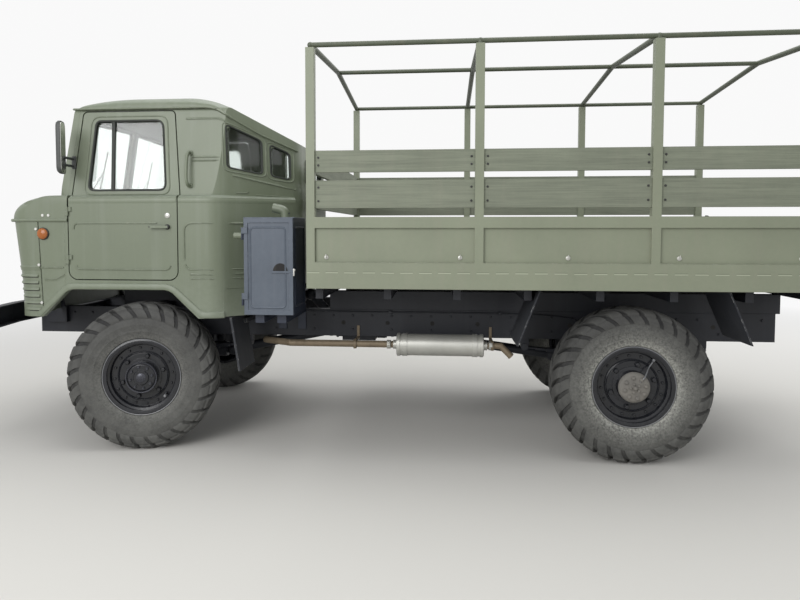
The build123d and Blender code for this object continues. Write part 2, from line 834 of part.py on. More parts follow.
def locker_door():
    """Locker's door with a pressed rim."""
    x0, x1 = at(locker_front), at(locker_rear)
    y0, y1 = -locker_outer_y, -locker_outer_y + locker_door_thickness
    door = block(x0 + 4, x1, y0, y1, locker_bottom, locker_top)
    door -= block(x0 + 30, x1 - 26, y0 - 1, y0 + 5, locker_bottom + 30, locker_top - 30)
    for z in locker_hinge_rows:
        leaf = block(x0 - 6, x0 + 30, y0 - 6, y0, z + 40.3, z + 80)
        barrel = rod_z(x0 - 6, y0, z + 40.3, z + 80, 7)
        door += leaf + barrel - rod_z(x0 - 6, y0, z + 39, z + 81, 3.5 + running_gap)
    return door


# Front flap: place and height of the top, sweep of the tip, height of the tip
front_flap = (640, 905, 57, 540)
# Rear flaps: distance of the top from the axle, sweep of the tip, height of the tip
rear_flaps = [(-606, -140, 765), (532, 145, 790)]
flap_thickness = 10


def mudguards():
    """Sheet flaps in front of and behind the wheels."""
    flaps = []
    for side in (-1, 1):
        y0, y1 = sorted((side * 600, side * 950))
        top_x, top_z, sweep, low = front_flap
        flap = side_prism([(at(top_x), top_z), (at(top_x + 15), top_z), (at(top_x + sweep + 15), low),
                           (at(top_x + sweep), low)], y0, y1)
        s0, s1 = sorted((side * rail_face_y, side * 700))
        flap += block(at(645), at(685), s0, s1, 840, 870)
        flaps.append(flap)
        y0, y1 = sorted((side * 640, side * 1080))
        for reach, sweep, low in rear_flaps:
            top_x = rear_axle_x + reach
            tip = top_x + sweep
            flaps.append(side_prism([(top_x, bed_bottom), (top_x + flap_thickness, bed_bottom),
                                     (tip + flap_thickness, low), (tip, low)], y0, y1))
    return flaps


def rear_lamps():
    """Box lamps on plates under the last crossbeam."""
    lamps = []
    back = rear_end_x - panel_thickness - gate_gap - 40
    for side in (-1, 1):
        y0, y1 = sorted((side * lamp_inner_y, side * (lamp_inner_y + lamp_width)))
        plate = block(back, back + 6, y0, y1, crossbeam_z - lamp_height - 10, crossbeam_z)
        box = block(back + 6, back + 40, y0 + 6, y1 - 6, crossbeam_z - lamp_height, crossbeam_z - 10)
        lamps.append(plate + box)
    return lamps


def tow_hitch():
    """Rear towing hook's housing on the last crossmember."""
    x = crossmember_places()[-1] + crossmember_depth
    body = block(x, x + 14, -120, 120, 735, 895)
    body += rod_x(0, 815, x + 13, x + 70, 34)
    jaw = block(x + 60, x + 130, -45, 45, 775, 795) + block(x + 60, x + 130, -45, 45, 835, 855)
    jaw += block(x + 60, x + 74, -45, 45, 775, 855)
    jaw -= rod_z(x + hitch_reach, 0, 770, 860, hitch_bore)
    return body + jaw


# Cab, built closed and then split where its panels meet

def cab_plan(inset, front, half_width, corner_y, rear, z0, z1, nose_radius):
    """Cab's outline from above, drawn in by an inset, with two slanted rear corners."""
    slant = inset * 0.42
    points = [(at(-front + inset), -half_width + inset), (at(cab_corner_x - slant), -half_width + inset),
              (at(rear - inset), -corner_y + slant), (at(rear - inset), corner_y - slant),
              (at(cab_corner_x - slant), half_width - inset), (at(-front + inset), half_width - inset)]
    radii = [nose_radius - inset * 0.6, 190, 150, 150, 190, nose_radius - inset * 0.6]
    return plan_prism(points, z0, z1, radii)


def cab_lower(inset):
    """Body below the windows: plan outline cut by the side profile of nose and bonnet."""
    base = skirt_z - (5 if inset else 0)
    plan = cab_plan(inset, cab_front, cab_half_width, cab_corner_y, cab_rear, base, belt_z - inset, 150)
    nose = [(at(-cab_front + 45 + inset), base - 2), (at(-cab_front + inset), moulding_z),
            (at(-cab_front + 14 + inset), moulding_z + 70 - inset), (at(-cab_front + 110 + inset), belt_z - 18 - inset),
            (at(-windscreen_base), belt_z - inset), (at(cab_rear + 10), belt_z - inset), (at(cab_rear + 10), base - 2)]
    side = side_prism(nose, -cab_half_width - 10, cab_half_width + 10, [0, 0, 50, 90, 0, 0, 0])
    return plan & side


def cab_upper(inset):
    """Greenhouse: front and rear slopes cut from a plan outline, sides leaning in."""
    low = belt_z - (wall + 8 if inset else 0)
    plan = cab_plan(inset, windscreen_base + 60, waist_half_width, cab_corner_y - 30, cab_rear - 12, low,
                    roof_z + 10, 110)
    lean = (windscreen_base - windscreen_top) / (gutter_z - belt_z)
    side = [(at(-windscreen_base - lean * (belt_z - low) + inset), low), (at(-windscreen_top + inset), gutter_z),
            (at(-windscreen_top + 100 + inset), roof_z - 6 - inset), (at(roof_break_x - 120), roof_z - 10 - inset),
            (at(cab_rear - inset), roof_rear_z + 36 - inset), (at(cab_rear - inset), low)]
    profile = side_prism(side, -cab_half_width, cab_half_width, [0, 45, 120, 200, 0, 0])
    crown = [(-waist_half_width + inset, low), (-waist_half_width + inset, belt_z),
             (-gutter_half_width + inset, gutter_z), (-gutter_half_width + 150 + inset, roof_z - inset),
             (gutter_half_width - 150 - inset, roof_z - inset), (gutter_half_width - inset, gutter_z),
             (waist_half_width - inset, belt_z), (waist_half_width - inset, low)]
    front = front_prism(crown, at(-1100), at(1200), [0, 0, 60, 160, 160, 60, 0, 0])
    return plan & profile & front


def door_outline(grow):
    """Door's outline from the side, larger or smaller than the opening by an amount."""
    return [(at(-door_front - grow), door_bottom - grow), (at(-door_front - grow), belt_z),
            (at(-door_front_top - grow), door_top + grow), (at(door_rear_top + grow), door_top + grow),
            (at(door_rear + grow), belt_z), (at(door_rear + grow), door_bottom - grow)]


def door_prism(side, grow):
    """Space that a door, or its opening, takes up."""
    y0, y1 = sorted((side * 800, side * 1040))
    corner = door_corner + grow
    return side_prism(door_outline(grow), y0, y1, [corner, 0, 30 + grow, 30 + grow, 0, corner])


def window_prism(side):
    """Door's window opening."""
    y0, y1 = sorted((side * 700, side * 1040))
    points = [(at(-364), window_bottom), (at(-312), window_top), (at(166), window_top), (at(192), window_bottom)]
    return side_prism(points, y0, y1, [45, 35, 55, 50])


# Quarter windows: corners in X and Z, front to rear
quarter_windows = [
    [(612, 1932), (606, 2222), (808, 2128), (812, 1896)],
    [(862, 1888), (856, 2108), (976, 2052), (980, 1866)],
]


def quarter_prism(side, corners, y_in=380):
    """Opening of one quarter window, cut straight across the slanted corner."""
    y0, y1 = sorted((side * y_in, side * 1040))
    return side_prism([(at(x), z) for x, z in corners], y0, y1, [30, 30, 30, 30])


def screen_prism(side):
    """Opening of one half of the windscreen."""
    points = [(side * 34, belt_z + 66), (side * 34, gutter_z - 44), (side * 735, gutter_z - 60),
              (side * 775, belt_z + 70)]
    return front_prism(points, at(-700), at(-400), [30, 30, 60, 60])


def rear_window_prism():
    """Opening of the cab's rear window."""
    points = [(-330, 1860), (330, 1860), (330, 2030), (-330, 2030)]
    return front_prism(points, at(cab_rear - 80), at(cab_rear + 20), [30, 30, 30, 30])


def wheel_arch(side, y_in=330):
    """Wheel opening in the cab's side: an outline with slanted ends."""
    y0, y1 = sorted((side * y_in, side * 1040))
    return side_prism([(at(-arch_front_low), skirt_z - 10), (at(-arch_front_top), arch_top_z),
                       (at(arch_rear_top), arch_top_z), (at(arch_rear_low), skirt_z - 10)], y0, y1, [0, 40, 40, 0])


def arch_lips(side):
    """Flange standing proud round the wheel opening."""
    y0, y1 = sorted((side * (cab_half_width - 6), side * (cab_half_width + arch_lip_rise)))
    w = arch_lip
    outline = side_prism([(at(-arch_front_low - w), skirt_z), (at(-arch_front_top - 0.4 * w), arch_top_z + w),
                          (at(arch_rear_top + 0.4 * w), arch_top_z + w), (at(arch_rear_low + w), skirt_z)],
                         y0, y1, [0, 50, 50, 0])
    return outline - wheel_arch(side)


def roof_gutter():
    """Rain gutter along the roof's edge, down to the break of the rear slope."""
    slab = block(at(-700), at(roof_break_x - 6), -1000, 1000, gutter_z + 6, gutter_z + 18)
    return (cab_upper(-11) & slab) - cab_upper(8)


def nose_seam(side):
    """Narrow joint between the front panel's wrap and the wing behind it."""
    y0, y1 = sorted((side * (cab_half_width - 5), side * (cab_half_width + 20)))
    return side_prism([(at(-704), moulding_z - 6), (at(-699), moulding_z - 6), (at(-672), skirt_z + 30),
                       (at(-677), skirt_z + 30)], y0, y1)


def nose_moulding(side):
    """Half-round bead along the top of the nose."""
    return rod_x(side * (cab_half_width - 2), moulding_z, at(-cab_front + 150), at(-door_front - door_gap - 30), 9)


def nose_louvres(side):
    """Slots in the front panel's wrap beside the headlamp."""
    y0, y1 = sorted((side * (cab_half_width - 90), side * (cab_half_width + 20)))
    slots = None
    for number in range(louvre_count):
        z = louvre_bottom + number * louvre_step
        slot = block(at(-865 + 2 * number), at(-782), y0, y1, z, z + 9)
        slots = slot if slots is None else slots + slot
    return slots


def cab_skin():
    """The whole hollow cab before its panels are split."""
    outer = cab_lower(0) + cab_upper(0)
    inner = cab_lower(wall) + cab_upper(wall)
    return outer - inner


def cab_zones():
    """Where the shell is split: before the doors' front edges, and behind them the sides and the rear wall."""
    split, lean = at(-door_front - 31), door_front - door_front_top
    reach, top = 1200, 2600
    low_rise = (top - belt_z) * lean / (door_top - belt_z)
    before = [(at(-reach), 0), (split, 0), (split, belt_z), (split + low_rise, top), (at(-reach), top)]
    behind = [(split, 0), (at(reach), 0), (at(reach), top), (split + low_rise, top), (split, belt_z)]
    middle = rear_wall_half_width
    return [("cab_front", side_prism(before, -reach, reach)), ("cab_side_left", side_prism(behind, -reach, -middle)),
            ("cab_side_right", side_prism(behind, middle, reach)), ("cab_rear", side_prism(behind, -middle, middle))]


def hinge_axis(side):
    """Upright axis of a door's hinges, just outside the front edge of the door."""
    return at(-door_front - door_gap / 2), side * (cab_half_width + 9)


hinge_rows = [1270, 1600]
hinge_knuckle = 30
hinge_barrel = 8
hinge_pin = 4


def door_hinges_fixed(side):
    """Lower barrels with their pins, on the cab."""
    x, y = hinge_axis(side)
    parts = []
    for z in hinge_rows:
        y0, y1 = sorted((side * (cab_half_width - 6), y))
        leaf = block(x - 26, x, y0, y1, z, z + hinge_knuckle)
        barrel = rod_z(x, y, z, z + hinge_knuckle, hinge_barrel)
        pin = rod_z(x, y, z, z + 2 * hinge_knuckle + 0.3, hinge_pin)
        parts.append(leaf + barrel + pin)
    return parts


def door_hinges_moving(side):
    """Upper barrels, on the door."""
    x, y = hinge_axis(side)
    parts = []
    for z in hinge_rows:
        base = z + hinge_knuckle + 0.3
        y0, y1 = sorted((side * (cab_half_width - 6), y))
        leaf = block(x, x + 26, y0, y1, base, base + hinge_knuckle)
        barrel = rod_z(x, y, base, base + hinge_knuckle, hinge_barrel)
        bore = rod_z(x, y, base - 1, base + hinge_knuckle + 1, hinge_pin + running_gap)
        parts.append(leaf + barrel - bore)
    return parts


def door(skin, side):
    """Door as thick as the cab's wall, with its window cut."""
    panel = skin & door_prism(side, 0)
    panel -= window_prism(side)
    for part in door_hinges_moving(side):
        panel += part
    handle_y = side * (cab_half_width + 18)
    y0, y1 = sorted((side * (cab_half_width - 4), handle_y))
    panel += rod_y(at(225), 1524, y0, y1, 9)
    panel += block(at(110), at(236), min(handle_y, handle_y + side * 10), max(handle_y, handle_y + side * 10),
                   1515, 1533)
    return panel


def pane_form(inset, thickness):
    """Shell of the greenhouse at some depth below its outer face."""
    return cab_upper(inset) - cab_upper(inset + thickness)


def cab_floor():
    """Floor with the engine's tunnel, open below and in front."""
    front, rear = -cab_front + wall + 1, cab_rear - wall - 1
    half = cab_half_width - wall - 1
    plate = cab_plan(wall + 1, cab_front, cab_half_width, cab_corner_y, cab_rear, cab_floor_z,
                     cab_floor_z + cab_floor_thickness, 150)
    trim = block(at(front), at(-520), -half - 10, half + 10, cab_floor_z - 5, cab_floor_z + 50)
    plate -= trim
    t = tunnel_half_width
    hole = block(at(-1200), at(700), -t, t, cab_floor_z - 5, cab_floor_z + 50)
    plate -= hole
    tunnel = block(at(-790), at(740), -t - 24, t + 24, cab_floor_z, tunnel_top)
    tunnel -= block(at(-800), at(716), -t, t, cab_floor_z - 5, tunnel_top - 24)
    toe = []
    for side in (-1, 1):
        y0, y1 = sorted((side * (t + 20), side * half))
        toe.append(block(at(-524), at(-500), y0, y1, cab_floor_z, 1500))
    return plate + tunnel + toe[0] + toe[1]


def cab_pivot_ear(side):
    """Ear under the front panel that the tilting pin passes through."""
    y0, y1 = sorted((side * (rail_face_y + 44), side * (rail_face_y + 72)))
    ear = side_prism([(at(-890), 960), (at(-830), 960), (at(-820), 1110), (at(-872), 1110)], y0, y1)
    return ear - rod_y(at(-tilt_pivot_x), tilt_pivot_z, y0 - 5, y1 + 5, 15 + running_gap)


def seats():
    """Two seats, one each side of the tunnel."""
    cushions = []
    for side in (-1, 1):
        centre = side * 640
        base = block(at(-60), at(420), centre - 200, centre + 200, cab_floor_z + cab_floor_thickness, 1300)
        cushion = block(at(-90), at(430), centre - 190, centre + 190, 1300, 1420)
        back = side_prism([(at(400), 1380), (at(520), 1380), (at(590), 1960), (at(500), 1960)],
                          centre - 190, centre + 190)
        cushions.append(base + cushion + back)
    return cushions


def dashboard():
    """Dashboard under the windscreen, with the steering column on the left."""
    board = side_prism([(at(-520), 1562), (at(-520), 1700), (at(-420), 1696), (at(-345), 1640),
                        (at(-345), 1600)], -860, 860)
    foot, top = column_ends()
    column = bar_between(foot, top, 22)
    floor_top = cab_floor_z + cab_floor_thickness
    column += block(foot[0] - 40, foot[0] + 40, foot[1] - 40, foot[1] + 40, floor_top + 0.3, foot[2] + 12)
    column += block(at(-350), at(-260), foot[1] - 20, foot[1] + 20, 1606, 1625)
    return [board + column]


def column_ends():
    """Lower and upper end of the steering column."""
    top = (at(-230), -600, 1640)
    foot = (at(-230) - 450 * sin(radians(column_lean)), -600, 1640 - 450 * cos(radians(column_lean)))
    return foot, top


def steering_wheel():
    """Rim, hub and three spokes on the column's end."""
    ring = Torus(205, 12)
    hub = Cylinder(38, 40)
    wheel = ring + hub
    for angle in (90, 210, 330):
        wheel += Rot(0, 0, angle) * (Pos(105, 0, 0) * Rot(0, 90, 0) * Cylinder(8, 190))
    top = column_ends()[1]
    rise = 20.3
    hub_centre = Pos(top[0] + rise * sin(radians(column_lean)), top[1], top[2] + rise * cos(radians(column_lean)))
    return hub_centre * Rot(0, column_lean, 0) * wheel


def headlamp(side):
    """Round headlamp with a domed glass in a rolled rim."""
    r = headlamp_radius
    # Distance out from the front panel and radius
    profile = [(-70, 0), (-70, r - 26), (-40, r), (16, r), (22, r - 6), (18, r - 16), (32, r * 0.5), (38, 0)]
    lamp = turned([(y, radius) for y, radius in profile])
    return Pos(at(-cab_front), side * headlamp_y, headlamp_z) * Rot(0, 0, 90) * lamp


def headlamp_hole(side):
    """Round hole in the front panel for a headlamp."""
    reach = headlamp_radius + 0.3
    return rod_x(side * headlamp_y, headlamp_z, at(-cab_front - 60), at(-cab_front + 120), reach)


def front_lamps():
    """Headlamps and turn lamps."""
    lamps = []
    for side in (-1, 1):
        lamps.append(headlamp(side))
        y0, y1 = sorted((side * cab_half_width, side * (cab_half_width + repeater_depth)))
        lamps.append(rod_y(at(-repeater_x), repeater_z, y0, y1, repeater_radius))
    return lamps


def mirrors():
    """Tall mirrors on bent arms at the windscreen's sides."""
    parts = []
    for side in (-1, 1):
        y0, y1 = side * 992, side * (992 + mirror_width)
        outline = [(y0, mirror_bottom), (y1, mirror_bottom), (y1, mirror_top), (y0, mirror_top)]
        head = front_prism(outline, at(-512), at(-484), [45, 45, 45, 45])
        arm = None
        for z in (mirror_bottom + 70, mirror_top - 80):
            skin_y = waist_half_width - (waist_half_width - gutter_half_width) * (z - belt_z) / (gutter_z - belt_z)
            bar = rod_y(at(-498), z, *sorted((side * (skin_y + 1), side * 1000)), 9)
            arm = bar if arm is None else arm + bar
        parts.append(head + arm)
    return parts


# Build and write every node

def build_wheels():
    """Tyres and rims at the four corners."""
    tyre_shape, rim_shape = tyre(), rim()
    # Name, x, track, side, steering angle at rest
    corners = [("front_left", front_axle_x, front_track, -1, rest_steer),
               ("front_right", front_axle_x, front_track, 1, rest_steer),
               ("rear_left", rear_axle_x, rear_track, -1, 0),
               ("rear_right", rear_axle_x, rear_track, 1, 0)]
    for name, x, track, side, steer in corners:
        write("tyre_" + name, [placed_wheel(tyre_shape, x, track, side, steer)])
        write("rim_" + name, [placed_wheel(rim_shape, x, track, side, steer)])


def build_chassis():
    """Frame, axles, springs, driveline and what hangs on the rails."""
    write("frame_rails", [rail(-1), rail(1)])
    beams = [crossmember(x) for x in crossmember_places()]
    write("frame_crossmembers", beams)
    write("cab_supports", pair(tilt_bracket(1)) + pair(cab_rest(1)))
    write("front_bumper", [bumper()])
    write("engine_block", [engine()])
    write("gearboxes", [gearbox(), transfer_case()])
    shafts = [shaft((at(960), 0, 980), (at(1250), 0, 800)),
              shaft((at(1620), 0, 690), (rear_axle_x - 300, 0, axle_height + 20)),
              shaft((at(1240), 0, 690), (at(300), 0, axle_height + 20))]
    write("propeller_shafts", shafts)
    write("axle_front", [axle(front_axle_x, True, 1)])
    write("axle_rear", [axle(rear_axle_x, False, -1)])
    springs = []
    for x in (front_axle_x, rear_axle_x):
        springs.extend(pair(spring(x, 1)))
    write("leaf_springs", springs)
    dampers = pair(damper(front_axle_x + damper_offset, 1, 120))
    dampers += pair(damper(rear_axle_x - damper_offset, 1, -120))
    write("dampers", dampers)
    write("exhaust_pipes", exhaust_pipes())
    write("muffler", [muffler()])
    write("fuel_tank", [fuel_tank()])
    write("mudguards", mudguards())
    write("tow_hitch", [tow_hitch()])
    write("rear_lamps", rear_lamps())
    write("knuckle_left", [knuckle(-1)])
    write("knuckle_right", [knuckle(1)])
    write("tie_rod", [tie_rod()])


def build_bed():
    """Cargo bed, its gate and canopy bows, and the locker."""
    write("bed_sills", bed_sills())
    write("bed_crossbeams", bed_crossbeams())
    write("gate_hinges", gate_hinges_fixed())
    write("bed_floor", [bed_floor()])
    write("bed_wall_left", [bed_wall(-1)])
    write("bed_wall_right", [bed_wall(1)])
    write("bed_wall_front", [front_wall()])
    write("side_boards", side_boards())
    write("canopy_frame", [canopy_frame()])
    write("tailgate", [tailgate()])
    write("locker_body", [locker_body()])
    write("locker_door", [locker_door()])


def build_cab():
    """Cab panels, doors, glass and fittings."""
    skin = cab_skin()
    shell = skin
    for side in (-1, 1):
        shell -= door_prism(side, door_gap)
        shell -= wheel_arch(side)
        for corners in quarter_windows:
            shell -= quarter_prism(side, corners)
        shell -= screen_prism(side)
        shell -= headlamp_hole(side)
        shell -= nose_seam(side)
        shell -= nose_louvres(side)
    shell -= rear_window_prism()
    shell -= block(at(-cab_front - 30), at(-cab_front + 110), -620, 620, skirt_z - 10, 1030)
    shell -= block(at(-cab_front - 30), at(-cab_front + 110), -470, 470, 1120, 1500)
    shell -= block(at(600), at(cab_rear + 30), -cab_half_width - 10, cab_half_width + 10, skirt_z - 10, 1100)
    roof_cut = block(at(-900), at(1200), -1100, 1100, gutter_z + 6, roof_z + 100)
    roof = (shell & roof_cut) + roof_gutter()
    shell -= roof_cut
    for side in (-1, 1):
        for part in door_hinges_fixed(side):
            shell += part
        shell += cab_pivot_ear(side)
        shell += arch_lips(side)
        shell += nose_moulding(side)
    # The shell in four pieces: front, two sides and rear wall
    for name, zone in cab_zones():
        write(name, [shell & zone])
    write("cab_roof", [roof])
    write("cab_floor", [cab_floor()])
    grille = None
    for number in range(9):
        z = 1130 + number * 42
        bar = block(at(-cab_front + 8), at(-cab_front + 36), -470, 470, z, z + 20)
        grille = bar if grille is None else grille + bar
    for y in (-320, 0, 320):
        grille += block(at(-cab_front + 30), at(-cab_front + 44), y - 10, y + 10, 1120, 1500)
    write("grille", [grille])
    panes = pane_form(16, glass_thickness)
    fixed = []
    for side in (-1, 1):
        fixed.append(panes & screen_prism(side))
        for corners in quarter_windows:
            fixed.append(panes & quarter_prism(side, corners))
    fixed.append(panes & rear_window_prism())
    write("cab_glass", fixed)
    for side, name in ((-1, "left"), (1, "right")):
        write("door_" + name, [door(skin, side)])
        write("door_glass_" + name, [panes & window_prism(side)])
    write("seats", seats())
    write("dashboard", dashboard())
    write("steering_wheel", [steering_wheel()])
    write("front_lamps", front_lamps())
    write("mirrors", mirrors())


build_wheels()
build_chassis()
build_bed()
build_cab()
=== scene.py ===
"""Looks of a light four-wheel-drive cargo truck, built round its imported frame.

Metres. X runs to the rear, Y to the truck's right and Z up from the ground.
"""

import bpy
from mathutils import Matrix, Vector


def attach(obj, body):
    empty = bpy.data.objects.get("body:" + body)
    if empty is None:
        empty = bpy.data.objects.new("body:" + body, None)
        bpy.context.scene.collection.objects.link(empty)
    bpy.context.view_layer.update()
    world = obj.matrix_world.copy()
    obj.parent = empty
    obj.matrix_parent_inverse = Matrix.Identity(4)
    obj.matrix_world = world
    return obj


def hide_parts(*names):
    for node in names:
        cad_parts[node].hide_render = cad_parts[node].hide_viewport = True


bl_info = {
    "name": "Cargo truck looks",
    "version": (1, 0, 0),
    "blender": (4, 5, 0),
    "location": "3D View > Sidebar > Truck",
    "description": "Paint, tyres, trim, fittings and stage of a light cargo truck",
    "category": "Object",
}

from math import pi, radians

import bmesh
import bpy
import numpy as np
from bpy.props import FloatProperty, FloatVectorProperty, IntProperty, PointerProperty

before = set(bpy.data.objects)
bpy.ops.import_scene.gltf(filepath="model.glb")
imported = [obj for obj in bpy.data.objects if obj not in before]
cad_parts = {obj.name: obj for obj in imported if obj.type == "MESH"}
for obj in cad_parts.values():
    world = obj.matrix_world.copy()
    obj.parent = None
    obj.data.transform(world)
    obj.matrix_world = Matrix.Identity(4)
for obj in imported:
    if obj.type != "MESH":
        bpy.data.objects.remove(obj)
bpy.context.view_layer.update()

FRONT_AXLE = -1.6975
REAR_AXLE = 1.6025
LEFT, RIGHT = -1, 1
FORWARD, REARWARD = (-1, 0, 0), (1, 0, 0)
LEFTWARD, RIGHTWARD, UPWARD = (0, -1, 0), (0, 1, 0), (0, 0, 1)


def row(x):
    """Row x of a place given in metres behind the front axle."""
    return FRONT_AXLE + x


def srgb(red, green, blue):
    """Linear colour of an 8-bit colour: ((c + 0.055) / 1.055) to the power 2.4, and c / 12.92 near black."""
    c = np.array([red, green, blue], float) / 255
    linear = np.where(c > 0.04045, ((c + 0.055) / 1.055) ** 2.4, c / 12.92)
    return tuple(float(v) for v in linear)


# Shapes as arrays: each shape is (points, quads, caps)

def points_of(x, y, z):
    """Points from x, y and z, each an array or one number for all."""
    return np.stack(np.broadcast_arrays(x, y, z), -1)


def grid_quads(rows, columns, closed_rows=False, closed_columns=False):
    """Quads between neighbouring points of a grid whose point at row i and column j is i * columns + j."""
    i = np.arange(rows if closed_rows else rows - 1)
    j = np.arange(columns if closed_columns else columns - 1)
    i, j = np.meshgrid(i, j, indexing="ij")
    i1, j1 = (i + 1) % rows, (j + 1) % columns
    return np.stack([i * columns + j, i * columns + j1, i1 * columns + j1, i1 * columns + j], -1).reshape(-1, 4)


def unit(v):
    """Vectors divided by their lengths."""
    v = np.asarray(v, float)
    return v / np.maximum(np.linalg.norm(v, axis=-1, keepdims=True), 1e-12)


def swept(path, profile, lift, closed=False):
    """A profile carried along a path: path + a * side + b * up, where side = tangent x lift and up = side x tangent."""
    path, profile = np.asarray(path, float), np.asarray(profile, float)
    if closed:
        tangent = np.roll(path, -1, 0) - np.roll(path, 1, 0)
    else:
        tangent = np.gradient(path, axis=0)
    tangent = unit(tangent)
    lift = np.broadcast_to(np.asarray(lift, float), path.shape)
    side = unit(np.cross(tangent, lift))
    up = np.cross(side, tangent)
    points = path[:, None] + profile[None, :, :1] * side[:, None] + profile[None, :, 1:] * up[:, None]
    n, m = len(path), len(profile)
    caps = [] if closed else [list(range(m)), list(range((n - 1) * m, n * m))]
    return points.reshape(-1, 3), grid_quads(n, m, closed, True), caps


def circle(radius, sides=12):
    """Points at (r cos t, r sin t)."""
    t = np.arange(sides) * 2 * pi / sides
    return np.stack([np.cos(t), np.sin(t)], -1) * radius


def tube(path, radius, sides=12):
    """Round bar along a path, lifted by a direction that no path here follows."""
    return swept(path, circle(radius, sides), (0.31, 0.52, 0.79))


def softened(points, cuts=3):
    """Corners cut off in turn: each run from a to b keeps the points 3a/4 + b/4 and a/4 + 3b/4, and the ends stay."""
    points = np.asarray(points, float)
    for _ in range(cuts):
        a, b = points[:-1], points[1:]
        inner = np.stack([0.75 * a + 0.25 * b, 0.25 * a + 0.75 * b], 1).reshape(-1, points.shape[1])
        points = np.concatenate([points[:1], inner, points[-1:]])
    return points


def rounded(corners, reach, steps=6, closed=True):
    """Straight runs whose corner c becomes the curve (1-t)^2 a + 2t(1-t) c + t^2 b, with a and b a reach away."""
    c = np.asarray(corners, float)
    reach = np.broadcast_to(np.asarray(reach, float), (len(c),))[:, None]
    a = c + unit(np.roll(c, 1, 0) - c) * reach
    b = c + unit(np.roll(c, -1, 0) - c) * reach
    t = np.linspace(0, 1, steps)[None, :, None]
    curve = (1 - t) ** 2 * a[:, None] + 2 * t * (1 - t) * c[:, None] + t ** 2 * b[:, None]
    if closed:
        return curve.reshape(-1, c.shape[1])
    return np.concatenate([c[:1], curve[1:-1].reshape(-1, c.shape[1]), c[-1:]])


def turned(profile, centre, axis, sides=32):
    """Profile of (distance along the axis, radius) turned about it; ends at radius 0 are closed by caps."""
    profile = np.asarray(profile, float)
    axis = unit(axis)
    helper = np.array([0.0, 0.0, 1.0]) if abs(axis[2]) < 0.9 else np.array([1.0, 0.0, 0.0])
    across = unit(np.cross(helper, axis))
    other = np.cross(axis, across)
    t = np.arange(sides) * 2 * pi / sides
    ring = np.cos(t)[:, None] * across + np.sin(t)[:, None] * other
    points = np.asarray(centre, float) + profile[:, None, :1] * axis + profile[:, None, 1:] * ring[None]
    n = len(profile)
    caps = [list(range(sides)), list(range((n - 1) * sides, n * sides))]
    return points.reshape(-1, 3), grid_quads(n, sides, False, True), caps


def ring_of(profile, centre, axis, sides=48):
    """Closed profile of (distance along the axis, radius) turned about it into a ring."""
    points, _, _ = turned(profile, centre, axis, sides)
    return points, grid_quads(len(profile), sides, True, True), []


def slab(outline, normal_from, depth, bevel=0.002):
    """Flat outline of 3-D points raised along a direction by a depth, its upper edge drawn in by a bevel."""
    outline = np.asarray(outline, float)
    direction = unit(normal_from)
    centre = outline.mean(0)
    inward = unit(centre - outline) * bevel
    levels = np.stack([outline, outline + direction * (depth - bevel), outline + direction * depth + inward])
    n = len(outline)
    return levels.reshape(-1, 3), grid_quads(3, n, False, True), [list(range(n)), list(range(2 * n, 3 * n))]


def plate(centre, across, up, width, height, depth, corner=0.01, bevel=0.002):
    """Rounded rectangle spanned by two directions and raised along across x up."""
    across, up = unit(across), unit(up)
    w, h = width / 2, height / 2
    flat = rounded([(-w, -h), (w, -h), (w, h), (-w, h)], min(corner, 0.98 * min(w, h)))
    outline = np.asarray(centre, float) + flat[:, :1] * across + flat[:, 1:] * up
    return slab(outline, np.cross(across, up), depth, bevel)


def heads(places, axis, radius, height, sides=6):
    """Bolt heads at many places at once: a chamfered prism along an axis, set a little into what it stands on."""
    places = np.asarray(places, float).reshape(-1, 3)
    profile = [(-0.3 * height, radius), (0.7 * height, radius), (height, 0.72 * radius)]
    points, quads, caps = turned(profile, (0, 0, 0), axis, sides)
    count, n = len(places), len(points)
    shift = np.arange(count) * n
    points = (places[:, None] + points[None]).reshape(-1, 3)
    quads = (quads[None] + shift[:, None, None]).reshape(-1, 4)
    ends = (np.array(caps)[None] + shift[:, None, None]).reshape(-1, sides)
    return points, quads, ends.tolist()


def circle_places(y, radius, count, start):
    """Places round a wheel's axle: (r cos t, y, r sin t)."""
    t = start + np.arange(count) * 2 * pi / count
    return points_of(radius * np.cos(t), y, radius * np.sin(t))


def moved(shape, turn=0.0, pivot=(0, 0), shift=(0, 0, 0), mirror=False):
    """A shape mirrored across Y, carried by a shift, and turned about an upright axis through a pivot."""
    points, quads, caps = shape
    points = np.array(points, float)
    if mirror:
        points[:, 1] *= -1
    points += np.asarray(shift, float)
    if turn:
        x, y = points[:, 0] - pivot[0], points[:, 1] - pivot[1]
        points[:, 0] = pivot[0] + x * np.cos(turn) - y * np.sin(turn)
        points[:, 1] = pivot[1] + x * np.sin(turn) + y * np.cos(turn)
    return points, quads, caps


def both_sides(shapes):
    """The shapes and their mirror images."""
    return list(shapes) + [moved(s, mirror=True) for s in shapes]


def add_object(name, data):
    """A new object in the scene."""
    item = bpy.data.objects.new(name, data)
    bpy.context.scene.collection.objects.link(item)
    return item


